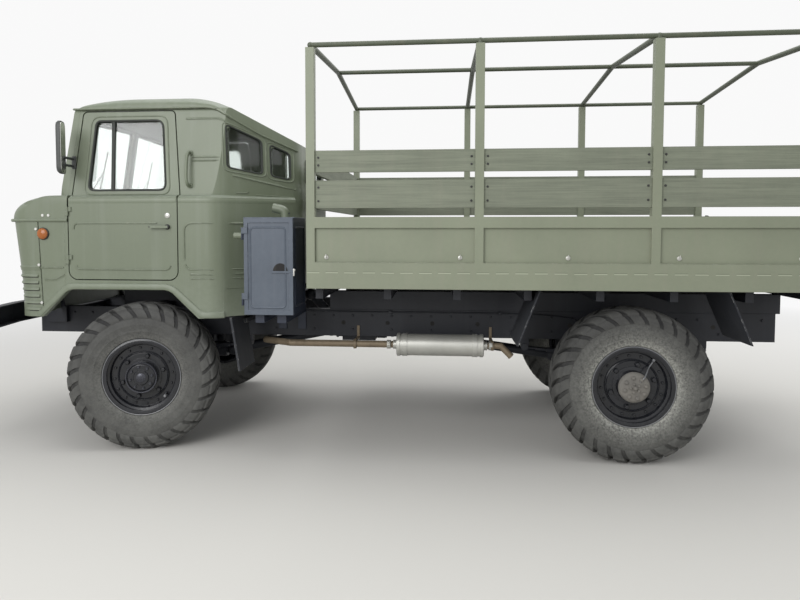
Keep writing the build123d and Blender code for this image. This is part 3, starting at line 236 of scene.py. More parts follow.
def build(name, shapes, finish, body, sharp=32, attributes=None):
    """One piece from shapes, its faces turned outwards, shaded smooth up to an angle, riding on a body."""
    points, faces, start = [], [], 0
    for shape_points, quads, caps in shapes:
        points.append(shape_points)
        faces.extend((np.asarray(quads) + start).tolist())
        faces.extend([[start + i for i in cap] for cap in caps])
        start += len(shape_points)
    mesh = bpy.data.meshes.new(name)
    mesh.from_pydata(np.concatenate(points).tolist(), [], faces)
    for key, values in (attributes or {}).items():
        mesh.attributes.new(key, "FLOAT", "POINT").data.foreach_set("value", np.asarray(values, np.float32))
    work = bmesh.new()
    work.from_mesh(mesh)
    bmesh.ops.recalc_face_normals(work, faces=work.faces)
    work.to_mesh(mesh)
    work.free()
    mesh.polygons.foreach_set("use_smooth", np.ones(len(mesh.polygons), bool))
    mesh.set_sharp_from_angle(angle=radians(sharp))
    mesh.update()
    piece = add_object(name, mesh)
    piece.data.materials.append(finishes()[finish])
    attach(piece, body)
    return piece


# The cab's outer face, so that pressings and trim lie on it

LOWER_PLAN = rounded([(-0.9, 0.98), (0.56, 0.98), (1.05, 0.545), (1.05, 0.0)], [0, 0.072, 0.067, 0], 8, False)
UPPER_PLAN = rounded([(-0.9, 0.925), (0.56, 0.925), (1.038, 0.515), (1.038, 0.0)], [0, 0.070, 0.069, 0], 8, False)
BELT, UPPER_HALF, SIDE_LEAN = 1.722, 0.925, 0.0738


def cab_face(x, z, side, lift=0.0):
    """Points on the cab's side: y is the plan's half width at x, and above the belt at most the half width there, less
    the lean for each metre up."""
    x, z = np.broadcast_arrays(np.asarray(x, float), np.asarray(z, float))
    low = np.interp(x, LOWER_PLAN[:, 0], LOWER_PLAN[:, 1])
    high = np.minimum(np.interp(x, UPPER_PLAN[:, 0], UPPER_PLAN[:, 1]), UPPER_HALF - SIDE_LEAN * (z - BELT))
    y = np.where(z > BELT, high, low) + lift
    return points_of(row(x), side * y, z)


def cab_normal(x, z, side):
    """Outward direction of that face, from its slopes along x and z."""
    step = 1e-3
    ahead = cab_face(x + step, z, side) - cab_face(x - step, z, side)
    above = cab_face(x, z + step, side) - cab_face(x, z - step, side)
    normal = unit(np.cross(ahead, above))
    return normal * np.sign(normal[:, 1:2] * side)


def on_cab(corners, reach, side, profile, closed=False, dense=4):
    """A profile carried along a rounded line drawn on the cab's face in x and z."""
    line = rounded(corners, reach, 7, closed)
    if closed:
        line = np.concatenate([line, line[:1]])
    t = np.arange((len(line) - 1) * dense + 1) / dense
    along = np.arange(len(line))
    x, z = np.interp(t, along, line[:, 0]), np.interp(t, along, line[:, 1])
    path, normal = cab_face(x, z, side), cab_normal(x, z, side)
    keep = np.concatenate([[True], np.linalg.norm(np.diff(path, axis=0), axis=1) > 2e-4])
    path, normal = path[keep], normal[keep]
    if closed:
        path, normal = path[:-1], normal[:-1]
    return swept(path, profile, normal, closed)


def thickened(points, quads, inward):
    """Open surface given a wall: its points moved inward make the back, and edges used only once are joined across."""
    used, quads = np.unique(quads, return_inverse=True)
    quads = quads.reshape(-1, 4)
    front, back = points[used], (points + inward)[used]
    edges = np.stack([quads, np.roll(quads, -1, 1)], -1).reshape(-1, 2)
    _, first, count = np.unique(np.sort(edges, 1), axis=0, return_index=True, return_counts=True)
    rim, n = edges[first[count == 1]], len(front)
    wall = np.stack([rim[:, 1], rim[:, 0], rim[:, 0] + n, rim[:, 1] + n], -1)
    return np.concatenate([front, back]), np.concatenate([quads, quads[:, ::-1] + n, wall]), []


# Points on the side, in the corner and on the front of a line round the nose
SIDE_POINTS, CORNER_POINTS, FRONT_POINTS = 20, 18, 110


def wrap_line(front, half, reach, back):
    """Line round the nose from above, in x and y: a straight side, the corner (1-t)^2 a + 2t(1-t) c + t^2 b, the
    straight front, and the same again mirrored."""
    side = np.stack([np.linspace(back, -front + reach, SIDE_POINTS), np.full(SIDE_POINTS, -half)], -1)
    t = np.linspace(0, 1, CORNER_POINTS)[1:-1, None]
    a, c, b = np.array([(-front + reach, -half), (-front, -half), (-front, -half + reach)])
    corner = (1 - t) ** 2 * a + 2 * t * (1 - t) * c + t ** 2 * b
    across = np.linspace(-half + reach, half - reach, FRONT_POINTS)
    middle = np.stack([np.full(FRONT_POINTS, -front), across], -1)
    return np.concatenate([side, corner, middle, corner[::-1] * (1, -1), side[::-1] * (1, -1)])


def outwards(line):
    """Outward directions of such a line, as 3-D vectors."""
    along = unit(np.gradient(line, axis=0))
    return points_of(-along[:, 1], along[:, 0], 0.0)


def placed(line, z):
    """3-D points of a line drawn in x and y, at a height."""
    return points_of(row(line[:, 0]), line[:, 1], z)


def step_profile(width, rise, towards):
    """Wedge that climbs slowly over a width and drops at once: a pressed field's edge, its field towards one side."""
    return np.array([(0, -0.003), (0, rise * 0.7), (-0.002 * towards, rise), (-0.006 * towards, rise),
                     (-0.45 * width * towards, rise * 0.45), (-width * towards, 0), (-width * towards, -0.003)])


# Node groups and materials

def feed(tree, node, inputs):
    """Sets a node's inputs by name or number, each to a value or by a link from another node's output."""
    for key, value in inputs.items():
        if isinstance(value, bpy.types.NodeSocket):
            tree.links.new(value, node.inputs[key])
        else:
            node.inputs[key].default_value = value
    return node


def put(tree, kind, inputs=None, **settings):
    """A new shader node with its settings and inputs."""
    node = tree.nodes.new("ShaderNode" + kind)
    for name, value in settings.items():
        setattr(node, name, value)
    return feed(tree, node, inputs or {})


def new_group(name, inputs, outputs):
    """Empty shader group with named sockets; inputs are (name, kind, default)."""
    tree = bpy.data.node_groups.new(name, "ShaderNodeTree")
    for label, kind, default in inputs:
        socket = tree.interface.new_socket(label, in_out="INPUT", socket_type="NodeSocket" + kind)
        socket.default_value = default
    for label, kind in outputs:
        tree.interface.new_socket(label, in_out="OUTPUT", socket_type="NodeSocket" + kind)
    return tree, tree.nodes.new("NodeGroupInput"), tree.nodes.new("NodeGroupOutput")


def blend_colour(tree, factor, a, b, kind="MIX"):
    """Colour a changed by b by a factor."""
    return put(tree, "Mix", {0: factor, 6: a, 7: b}, data_type="RGBA", blend_type=kind).outputs[2]


def calc(tree, operation, a, b=0.0, c=0.0, clamp=False):
    """One sum on numbers or outputs."""
    return put(tree, "Math", {0: a, 1: b, 2: c}, operation=operation, use_clamp=clamp).outputs[0]


def varied(tree, texture, amount, base, clamp=False):
    """base + (texture - 0.5) * amount."""
    return calc(tree, "MULTIPLY_ADD", calc(tree, "SUBTRACT", texture, 0.5), amount, base, clamp)


def spread(tree, value, low, high, to_low=0.0, to_high=1.0):
    """A value carried from one range to another and held inside it."""
    return put(tree, "MapRange", {"Value": value, "From Min": low, "From Max": high,
                                  "To Min": to_low, "To Max": to_high}).outputs[0]


def noise(tree, vector, scale, detail=4.0, roughness=0.55):
    """Fractal noise at some places."""
    return put(tree, "TexNoise", {"Vector": vector, "Scale": scale, "Detail": detail,
                                  "Roughness": roughness}).outputs[0]


def stretched(tree, vector, scale):
    """Coordinates scaled along each axis."""
    return put(tree, "Mapping", {"Vector": vector, "Scale": scale}).outputs[0]


def object_place(tree):
    """Object coordinates."""
    return put(tree, "TexCoord").outputs["Object"]


def parts_of(tree, vector):
    """A vector's x, y and z."""
    return put(tree, "SeparateXYZ", {"Vector": vector}).outputs


def weathering_group():
    """Faded colour, dust that gathers low down and on upward faces, thin rain streaks, roughness and fine height. On
    upward faces a pale dust colour is partly a painted sheen of sky light.
    """
    tree, given, out = new_group(
        "Weathering",
        [("Color", "Color", (0.2, 0.2, 0.2, 1)), ("Dust Color", "Color", (0.3, 0.28, 0.25, 1)),
         ("Dust", "Float", 0.3), ("Dust Top", "Float", 1.0), ("Fading", "Float", 0.2),
         ("Streaks", "Float", 0.1), ("Patch Scale", "Float", 2.0), ("Roughness", "Float", 0.5)],
        [("Color", "Color"), ("Roughness", "Float"), ("Height", "Float")])
    place, g = object_place(tree), given.outputs
    patches = noise(tree, place, g["Patch Scale"], 5.0)
    fine = noise(tree, place, 38.0, 6.0, 0.7)
    speck = noise(tree, place, 160.0, 2.0)
    shade = varied(tree, patches, calc(tree, "MULTIPLY", g["Fading"], 2.0), 1.0)
    shade = varied(tree, fine, calc(tree, "MULTIPLY", g["Fading"], 0.7), shade)
    grey = put(tree, "CombineColor", {"Red": shade, "Green": shade, "Blue": shade}).outputs[0]
    colour = blend_colour(tree, 1.0, g["Color"], grey, "MULTIPLY")
    run = noise(tree, stretched(tree, place, (17.0, 17.0, 0.9)), 1.0, 4.0)
    run = calc(tree, "MULTIPLY", spread(tree, run, 0.5, 0.78), g["Streaks"])
    colour = blend_colour(tree, run, colour, g["Dust Color"])
    low = spread(tree, calc(tree, "DIVIDE", parts_of(tree, place)[2], g["Dust Top"]), 0.0, 1.0, 1.0, 0.0)
    facing = parts_of(tree, put(tree, "NewGeometry").outputs["Normal"])[2]
    upward = spread(tree, facing, 0.25, 1.0, 0.0, 0.6)
    ragged = spread(tree, calc(tree, "MULTIPLY_ADD", fine, 0.7, calc(tree, "MULTIPLY", patches, 0.5)), 0.35, 0.8)
    # Dust low down and on upward faces; a pale dust colour on upward faces is partly a painted sheen of sky light.
    settled_dust_and_sheen = calc(tree, "MAXIMUM", low, upward)
    dust = calc(tree, "MULTIPLY", calc(tree, "MULTIPLY", settled_dust_and_sheen, ragged), g["Dust"], clamp=True)
    rough = calc(tree, "MULTIPLY_ADD", dust, 0.35, g["Roughness"])
    feed(tree, out, {"Color": blend_colour(tree, dust, colour, g["Dust Color"]),
                     "Roughness": varied(tree, fine, 0.18, rough, clamp=True),
                     "Height": calc(tree, "MULTIPLY_ADD", speck, 0.3, calc(tree, "MULTIPLY", fine, 0.6))})
    return tree


def edge_wear_group():
    """Mask of worn edges: where the rounded normal leaves the flat one, broken up by noise, and that rounded normal."""
    tree, given, out = new_group("Edge wear", [("Amount", "Float", 0.5), ("Radius", "Float", 0.004)],
                                 [("Mask", "Float"), ("Normal", "Vector")])
    soft = put(tree, "Bevel", {"Radius": given.outputs["Radius"]}, samples=4).outputs[0]
    flat = put(tree, "NewGeometry").outputs["Normal"]
    along = put(tree, "VectorMath", {0: soft, 1: flat}, operation="DOT_PRODUCT").outputs["Value"]
    bend = spread(tree, along, 0.995, 0.86)
    chips = spread(tree, noise(tree, object_place(tree), 24.0, 6.0, 0.7), 0.5, 0.62)
    mask = calc(tree, "MULTIPLY", calc(tree, "MULTIPLY", bend, chips), given.outputs["Amount"], clamp=True)
    feed(tree, out, {"Mask": mask, "Normal": soft})
    return tree


def grain_group():
    """Wood grain along X, or along Y in front of a limit: noise drawn out along the plank, in dark lines and height."""
    tree, given, out = new_group(
        "Plank grain",
        [("Color", "Color", (0.2, 0.2, 0.15, 1)), ("Line Color", "Color", (0.1, 0.1, 0.08, 1)),
         ("Turn Before", "Float", -0.42)],
        [("Color", "Color"), ("Height", "Float")])
    place, g = object_place(tree), given.outputs
    x, y, z = parts_of(tree, place)
    crosswise = calc(tree, "LESS_THAN", x, g["Turn Before"])
    swapped = put(tree, "CombineXYZ", {"X": y, "Y": x, "Z": z}).outputs[0]
    along = put(tree, "Mix", {0: crosswise, 4: place, 5: swapped}, data_type="VECTOR").outputs[1]
    coarse = noise(tree, stretched(tree, along, (1.6, 30.0, 42.0)), 1.0, 5.0, 0.6)
    thin = noise(tree, stretched(tree, along, (4.0, 90.0, 150.0)), 1.0, 3.0)
    dark = spread(tree, calc(tree, "MULTIPLY_ADD", thin, 0.5, calc(tree, "MULTIPLY", coarse, 0.6)), 0.45, 0.7)
    feed(tree, out, {"Color": blend_colour(tree, dark, g["Color"], g["Line Color"]),
                     "Height": calc(tree, "SUBTRACT", 1.0, dark)})
    return tree


def weld_group():
    """Dashed weld line along X on the bed's outer sides: stripes of height, a painted highlight on each dash and
    painted shade in a band above it, where a row of dashes runs.
    """
    tree, given, out = new_group(
        "Weld dashes with painted light",
        [("Color", "Color", (0.2, 0.2, 0.2, 1)), ("Painted Highlight Color", "Color", (0.4, 0.4, 0.4, 1)),
         ("Painted Shade Color", "Color", (0.1, 0.1, 0.1, 1)), ("Line Height", "Float", 1.232), ("Side", "Float", 1.158)],
        [("Color", "Color"), ("Height", "Float")])
    place, g = object_place(tree), given.outputs
    x, y, z = parts_of(tree, place)
    wander = calc(tree, "MULTIPLY", calc(tree, "SUBTRACT", noise(tree, place, 5.0, 3.0), 0.5), 0.006)
    rise = calc(tree, "ADD", calc(tree, "SUBTRACT", z, g["Line Height"]), wander)
    dash = calc(tree, "LESS_THAN", calc(tree, "FRACT", calc(tree, "MULTIPLY", x, 8.4)), 0.66)
    dash = calc(tree, "MULTIPLY", dash, calc(tree, "GREATER_THAN", calc(tree, "ABSOLUTE", y), g["Side"]))

    def stripe(distance, core, reach):
        faded = spread(tree, calc(tree, "ABSOLUTE", distance), core, reach, 1.0, 0.0)
        return calc(tree, "MULTIPLY", faded, dash)

    # pale is a painted highlight on each dash, dark a band of painted shade just above it.
    pale = stripe(rise, 0.0020, 0.0032)
    dark = stripe(calc(tree, "SUBTRACT", rise, 0.0055), 0.0015, 0.0035)
    colour = blend_colour(tree, calc(tree, "MULTIPLY", dark, 0.55), g["Color"], g["Painted Shade Color"])
    feed(tree, out, {"Color": blend_colour(tree, calc(tree, "MULTIPLY", pale, 0.75), colour, g["Painted Highlight Color"]),
                     "Height": calc(tree, "MULTIPLY", pale, 2.0)})
    return tree


def opaque(colour):
    """Colour with full alpha."""
    return (*tuple(colour)[:3], 1.0)


def new_material(name):
    """A material, its tree and its shader."""
    material = bpy.data.materials.new(name)
    material.use_nodes = True
    return material, material.node_tree, material.node_tree.nodes["Principled BSDF"]


def shaded(name, groups, colour, roughness, dust, dust_colour, dust_top, fading=0.2, streaks=0.1, patches=2.0,
           wear=0.0, wear_colour=None, bump=0.15, metallic=0.0, edge=0.004, grain=None, colour_from=None, welds=None,
           ring=None):
    """A weathered, opaque material: colour, roughness and bump from the shared groups, and worn, rounded edges.

    grain is the colour of the wood's lines, and welds holds a weld line's pale tone, a painted highlight, and its dark
    tone, painted shade. colour_from is a mesh attribute with the colour where it is 0, on the tyres painted shade in
    the grooves, and ring is one with the colour of its specks where it is 1."""
    material, tree, shader = new_material(name)
    base, relief = opaque(colour), None
    if grain is not None:
        wood = put(tree, "Group", node_tree=groups["grain"])
        feed(tree, wood, {"Color": base, "Line Color": opaque(grain)})
        base, relief = wood.outputs["Color"], wood.outputs["Height"]
    if welds is not None:
        # The weld's pale tone is a painted highlight and its dark tone painted shade.
        pale, dark = welds
        seam = put(tree, "Group", node_tree=groups["welds"])
        feed(tree, seam, {"Color": base, "Painted Highlight Color": opaque(pale), "Painted Shade Color": opaque(dark)})
        base, relief = seam.outputs["Color"], seam.outputs["Height"]
    # A mesh attribute picks a second colour where it is 0: on the tyres, painted shade in the grooves.
    if colour_from is not None:
        share = put(tree, "Attribute", attribute_name=colour_from[0]).outputs["Fac"]
        base = blend_colour(tree, share, opaque(colour_from[1]), base)
    aged = put(tree, "Group", node_tree=groups["weathering"])
    feed(tree, aged, {"Color": base, "Dust Color": opaque(dust_colour), "Dust": dust, "Dust Top": dust_top,
                      "Fading": fading, "Streaks": streaks, "Patch Scale": patches, "Roughness": roughness})
    colour_out, height = aged.outputs["Color"], aged.outputs["Height"]
    if relief is not None:
        height = calc(tree, "ADD", relief, height)
    bumped = put(tree, "Bump", {"Strength": bump, "Distance": 0.002, "Height": height})
    if edge:
        worn = put(tree, "Group", node_tree=groups["edges"])
        feed(tree, worn, {"Amount": wear, "Radius": edge})
        if wear:
            colour_out = blend_colour(tree, worn.outputs["Mask"], colour_out, opaque(wear_colour or dust_colour))
        feed(tree, bumped, {"Normal": worn.outputs["Normal"]})
    if ring is not None:
        share = put(tree, "Attribute", attribute_name=ring[0]).outputs["Fac"]
        specks = spread(tree, noise(tree, object_place(tree), 75.0, 5.0, 0.75), 0.34, 0.60)
        colour_out = blend_colour(tree, calc(tree, "MULTIPLY", share, specks), colour_out, opaque(ring[1]))
    feed(tree, shader, {"Metallic": metallic, "Base Color": colour_out, "Roughness": aged.outputs["Roughness"],
                        "Normal": bumped.outputs[0]})
    return material


def clear(name, tint, roughness=0.03):
    """Glass with a faint film of dust that shows in its roughness."""
    material, tree, shader = new_material(name)
    film = noise(tree, object_place(tree), 6.0, 5.0)
    feed(tree, shader, {"Base Color": opaque(tint), "Transmission Weight": 1.0, "IOR": 1.45,
                        "Roughness": spread(tree, film, 0.45, 0.8, roughness, roughness + 0.12)})
    return material


# Values that a user would change

def paint_value(label, text, *rgb):
    """Colour value; its default is given in 8 bits."""
    return FloatVectorProperty(name=label, description=text, subtype="COLOR", size=3, min=0, max=1,
                               default=srgb(*rgb))


def number_value(label, text, default, low, high, unit="NONE"):
    """Number value with its range."""
    return FloatProperty(name=label, description=text, default=default, min=low, max=high, unit=unit)


class TruckColours(bpy.types.PropertyGroup):
    """Colours of the truck's finishes."""
    cab: paint_value("Cab paint", "Olive green of the cab", 109, 117, 98)
    bed: paint_value("Bed paint", "Paler olive green of the bed", 131, 137, 117)
    boards: paint_value("Board paint", "Weathered paint on the side boards", 125, 131, 114)
    tubes: paint_value("Bow paint", "Dark green of the canopy bows", 74, 82, 66)
    chassis: paint_value("Chassis black", "Blue-black of frame and axles", 19, 22, 31)
    locker: paint_value("Locker paint", "Slate blue of the locker", 73, 82, 94)
    rims: paint_value("Rim black", "Gloss black of the rims", 20, 22, 28)
    rubber: paint_value("Rubber", "Weathered tyre rubber", 66, 66, 65)
    # Groove: darker colour of the rubber between the lugs, painted shade in the grooves.
    groove: paint_value("Groove", "Rubber between the lugs", 26, 26, 28)
    dust: paint_value("Dust", "Dry road dust", 146, 139, 128)
    silver: paint_value("Silver", "Zinc and aluminium paint", 196, 196, 190)
    rust: paint_value("Rust", "Heat-stained exhaust pipe", 124, 110, 90)
    seat: paint_value("Seat cover", "Brown leathercloth of the seats", 84, 66, 50)
    amber: paint_value("Amber lens", "Side repeaters and turn lamps", 158, 88, 28)
    red: paint_value("Red lens", "Tail lamps", 150, 16, 14)


class TruckSizes(bpy.types.PropertyGroup):
    """Sizes of the pieces that the scene adds."""
    lug_height: number_value("Lug height", "Height of a tyre lug at the middle of the tread",
                             0.021, 0.005, 0.05, "LENGTH")
    lug_count: IntProperty(name="Lugs a side", description="Lugs in each of a tyre's two rows",
                           default=28, min=8, max=40)
    lug_sweep: number_value("Lug sweep", "Turn of a lug between the tread's middle and the sidewall",
                            radians(17.0), 0, radians(30), "ROTATION")
    rib_rise: number_value("Pressing rise", "How far the edges of pressed fields stand out",
                           0.006, 0.001, 0.02, "LENGTH")
    rubber_width: number_value("Window rubber", "Width of the rubber round each window", 0.015, 0.008, 0.05, "LENGTH")
    bolt_radius: number_value("Bolt head", "Radius of the common bolt heads", 0.010, 0.004, 0.03, "LENGTH")
    handle_radius: number_value("Handle bar", "Radius of the cab's grab handles", 0.011, 0.005, 0.03, "LENGTH")


class TruckStage(bpy.types.PropertyGroup):
    """Light and floor."""
    sky: number_value("Sky strength", "Strength of the even light from all round", 0.57, 0, 3)
    key: number_value("Key power", "Power of the large soft lamp over the near side", 415.0, 0, 5000, "POWER")
    top: number_value("Top power", "Power of the soft lamp above", 330.0, 0, 5000, "POWER")
    floor: paint_value("Floor", "Pale grey of the floor", 205, 203, 198)


def finishes():
    """All materials by name, made at the first call and kept in FINISH."""
    if FINISH:
        return FINISH
    c = bpy.context.scene.truck_colours
    groups = {"weathering": weathering_group(), "edges": edge_wear_group(), "grain": grain_group(),
              "welds": weld_group()}
    # pale: edge colour of the cab and bed paint, partly chipped wear and partly a painted highlight where edges catch
    # the light.
    dust, pale = c.dust, srgb(172, 176, 160)

    def add(name, *values, **options):
        FINISH[name] = shaded(name, groups, *values, **options)

    # Cab paint: its pale bluish dust is partly dust and partly a painted sheen of sky light on the roof and other
    # upward faces.
    add("cab_paint", c.cab, 0.40, 0.62, srgb(166, 172, 166), 1.25, fading=0.16, streaks=0.10, patches=1.4, wear=0.55,
        wear_colour=pale)
    # Bed paint: the weld dashes take a pale painted highlight and a band of painted shade above it.
    add("bed_paint", c.bed, 0.48, 0.30, dust, 1.5, fading=0.18, streaks=0.16, patches=1.8, wear=0.6, wear_colour=pale,
        welds=(srgb(176, 182, 160), srgb(96, 101, 84)))
    add("board_paint", c.boards, 0.66, 0.22, dust, 2.6, fading=0.22, streaks=0.12, patches=3.0, wear=0.5,
        wear_colour=srgb(96, 94, 80), bump=0.30, grain=srgb(108, 114, 99))
    add("floor_planks", srgb(104, 104, 92), 0.8, 0.45, dust, 2.2, fading=0.35, streaks=0.0, patches=3.0, bump=0.5,
        grain=srgb(66, 64, 54), edge=0)
    add("bow_paint", c.tubes, 0.5, 0.25, srgb(120, 112, 96), 4.0, fading=0.3, streaks=0.2, patches=5.0, wear=0.35,
        wear_colour=srgb(110, 84, 62), edge=0.003)
    add("chassis_black", c.chassis, 0.52, 0.34, srgb(70, 73, 78), 1.2, fading=0.35, patches=4.0, wear=0.4,
        wear_colour=srgb(84, 84, 86), bump=0.3)
    add("cast_grey", srgb(112, 110, 106), 0.75, 0.6, dust, 1.0, fading=0.3, patches=9.0, wear=0.3, bump=0.6)
    add("locker_paint", c.locker, 0.40, 0.28, srgb(128, 132, 138), 2.0, fading=0.22, streaks=0.12, patches=3.0,
        wear=0.6, wear_colour=srgb(150, 156, 164))
    # Locker body: a darker copy of the locker paint, painted shade on its sides and back.
    add("locker_painted_shade", srgb(29, 37, 54), 0.45, 0.15, srgb(66, 72, 84), 2.0, fading=0.25, patches=3.0, wear=0.3,
        wear_colour=srgb(90, 98, 108))
    add("hub_steel", srgb(66, 67, 74), 0.26, 0.2, srgb(96, 96, 96), 0.8, fading=0.3, patches=8.0, metallic=0.5, edge=0)
    add("rim_black", c.rims, 0.20, 0.22, srgb(84, 84, 86), 0.8, fading=0.3, patches=6.0, wear=0.5,
        wear_colour=srgb(110, 110, 112), bump=0.15)
    add("bright_edge", srgb(128, 130, 134), 0.4, 0.4, dust, 0.8, fading=0.3, patches=8.0, metallic=0.4, edge=0)
    # Tyre: the groove colour darkens the rubber between the lugs as painted shade; the pale specks by the bead are
    # dust.
    add("tyre_rubber", c.rubber, 0.78, 0.42, srgb(124, 124, 118), 1.10, fading=0.70, streaks=0.0, patches=7.0, bump=1.0,
        edge=0, colour_from=("raise", c.groove), ring=("bead", srgb(186, 186, 178)))
    add("flap_rubber", srgb(34, 37, 44), 0.72, 0.5, srgb(92, 92, 92), 1.2, fading=0.3, patches=4.0, wear=0.9,
        wear_colour=srgb(190, 190, 186), bump=0.3, edge=0.006)
    add("silver_paint", c.silver, 0.38, 0.35, srgb(120, 112, 100), 1.0, fading=0.25, patches=7.0, metallic=0.55,
        wear=0.3, wear_colour=srgb(110, 100, 88))
    add("rusty_pipe", c.rust, 0.55, 0.5, srgb(170, 158, 138), 0.9, fading=0.5, patches=11.0, metallic=0.3, bump=0.5)
    add("bright_screw", srgb(205, 205, 200), 0.3, 0.1, dust, 2.0, fading=0.1, metallic=0.7, edge=0)
    add("black_trim", srgb(30, 31, 32), 0.5, 0.3, srgb(96, 94, 90), 2.5, fading=0.3, patches=6.0, wear=0.3,
        wear_colour=srgb(104, 102, 98), edge=0.002)
    add("window_rubber", srgb(40, 44, 40), 0.65, 0.3, srgb(96, 98, 90), 3.0, fading=0.3, patches=6.0, edge=0)
    add("cab_lining", srgb(92, 98, 84), 0.7, 0.3, srgb(110, 106, 96), 2.4, fading=0.3, patches=3.0, bump=0.3)
    add("seat_cover", c.seat, 0.6, 0.25, srgb(130, 120, 106), 3.0, fading=0.35, patches=6.0, bump=0.5, edge=0)
    add("mirror_back", srgb(58, 61, 60), 0.5, 0.3, srgb(96, 94, 90), 2.5, fading=0.3, patches=6.0, wear=0.3,
        wear_colour=srgb(110, 108, 104), edge=0.002)
    add("amber_lens", c.amber, 0.18, 0.1, dust, 2.0, fading=0.1, patches=8.0, edge=0)
    add("red_lens", c.red, 0.2, 0.1, dust, 2.0, fading=0.1, patches=8.0, edge=0)
    # Near-black for holes and openings: painted shade where one would look into shadow; in the tail pipe also its soot.
    add("painted_hole_shade", srgb(14, 14, 16), 0.8, 0.1, dust, 2.0, fading=0.1, edge=0)
    add("reflector", srgb(226, 226, 222), 0.12, 0.05, dust, 2.0, fading=0.05, metallic=1.0, edge=0, bump=0.02)
    FINISH["glass"] = clear("glass", (0.90, 0.94, 0.92))
    FINISH["lamp_glass"] = clear("lamp_glass", (0.95, 0.96, 0.96), 0.06)
    return FINISH


FINISH = {}

# CAD nodes by finish
NODE_FINISH = {
    "cab_paint": ["cab_front", "cab_side_left", "cab_side_right", "cab_rear", "cab_roof", "door_left", "door_right",
                  "grille"],
    "bed_paint": ["bed_wall_left", "bed_wall_right", "bed_wall_front", "tailgate", "gate_hinges"],
    "board_paint": ["side_boards"],
    "floor_planks": ["bed_floor"],
    "bow_paint": ["canopy_frame"],
    "chassis_black": ["frame_rails", "frame_crossmembers", "cab_supports", "front_bumper", "gearboxes",
                      "propeller_shafts", "axle_front", "axle_rear", "leaf_springs", "dampers", "fuel_tank",
                      "tow_hitch", "knuckle_left", "knuckle_right", "tie_rod", "bed_sills", "bed_crossbeams",
                      "engine_block", "cab_floor"],
    "flap_rubber": ["mudguards"],
    "locker_paint": ["locker_door"],
    # The locker's body takes the darker copy of the locker paint, as painted shade.
    "locker_painted_shade": ["locker_body"],
    "rim_black": ["rim_front_left", "rim_front_right", "rim_rear_left", "rim_rear_right"],
    "silver_paint": ["muffler"],
    "rusty_pipe": ["exhaust_pipes"],
    "glass": ["cab_glass", "door_glass_left", "door_glass_right"],
    "cab_lining": ["dashboard"],
    "black_trim": ["steering_wheel", "mirrors", "rear_lamps"],
    "seat_cover": ["seats"],
    "tyre_rubber": ["tyre_front_left", "tyre_front_right", "tyre_rear_left", "tyre_rear_right"],
    "reflector": ["front_lamps"],
}

# Wheels: name, row x, y of the middle, side, steering angle in degrees, distance of the steering pivot inwards
WHEELS = [
    ("front_left", FRONT_AXLE, 0.900, LEFT, 11, 0.100),
    ("front_right", FRONT_AXLE, 0.900, RIGHT, 11, 0.100),
    ("rear_left", REAR_AXLE, 0.875, LEFT, 0, 0),
    ("rear_right", REAR_AXLE, 0.875, RIGHT, 0, 0),
]
WHEEL_HEIGHT = 0.502


def at_wheel(shape, x, y, side, steer, inward):
    """A shape made at the origin, its outer side towards +Y: mirrored for a left wheel, carried there and steered."""
    return moved(shape, radians(steer), (x, side * (y - inward)), (x, side * y, WHEEL_HEIGHT), mirror=side < 0)


# Half a tyre's section from the tread's middle to the bead: half width, radius, share of the lug's height,
# share of the lug's sweep, half width of a lug in degrees
TYRE_SECTION = np.array([
    (0.0000, 0.4830, 0.00, 0.00, 4.3),
    (0.0040, 0.4830, 0.00, 0.00, 4.3),
    (0.0080, 0.4830, 1.00, 0.02, 4.3),
    (0.0300, 0.4826, 1.00, 0.11, 4.3),
    (0.0600, 0.4816, 1.00, 0.24, 4.25),
    (0.0880, 0.4796, 1.00, 0.37, 4.25),
    (0.1120, 0.4760, 1.00, 0.48, 4.25),
    (0.1270, 0.4700, 0.98, 0.57, 4.25),
    (0.1345, 0.4625, 0.94, 0.64, 4.25),
    (0.1370, 0.4600, 0.40, 0.66, 4.3),
    (0.1394, 0.4540, 0.40, 0.70, 4.3),
    (0.1408, 0.4510, 0.88, 0.72, 4.25),
    (0.1450, 0.4400, 0.84, 0.78, 4.3),
    (0.1490, 0.4280, 0.78, 0.86, 4.4),
    (0.1516, 0.4130, 0.72, 0.92, 4.5),
    (0.1538, 0.4050, 0.00, 0.96, 4.5),
    (0.1562, 0.3980, 0.00, 1.00, 4.9),
    (0.1582, 0.3850, 0.00, 1.00, 4.9),
    (0.1586, 0.3680, 0.00, 1.00, 4.9),
    (0.1594, 0.3650, 0.00, 1.00, 4.9),
    (0.1586, 0.3620, 0.00, 1.00, 4.9),
    (0.1560, 0.3400, 0.00, 1.00, 4.9),
    (0.1520, 0.3200, 0.00, 1.00, 4.9),
    (0.1525, 0.3170, 0.00, 1.00, 4.9),
    (0.1500, 0.3130, 0.00, 1.00, 4.9),
    (0.1440, 0.2920, 0.00, 1.00, 4.9),
    (0.1380, 0.2780, 0.00, 1.00, 4.9),
    (0.1335, 0.2690, 0.00, 1.00, 4.9),
    (0.1220, 0.2640, 0.00, 1.00, 4.9),
    (0.1195, 0.2560, 0.00, 1.00, 4.9),
    (0.1180, 0.2510, 0.00, 1.00, 4.9),
])
COLUMNS_A_LUG = 12
# A lug's steep edge, and the half width over which the middle's even columns lead over to the lugs
LUG_EDGE, SETTLE_WIDTH = radians(0.35), 0.0075
# The plain tyre's limits that the lugs stay inside, and the radius of the bore
TREAD_RADIUS, TREAD_HALF_WIDTH, BORE_RADIUS = 0.5018, 0.1598, 0.2505
# Dust on the sidewall: the bead's radius, and the reach of a near and a far part of the dust
BEAD_RADIUS, NEAR_DUST, FAR_DUST = 0.262, 0.075, 0.17
FRONT_DUST, REAR_DUST = 0.22, 0.85


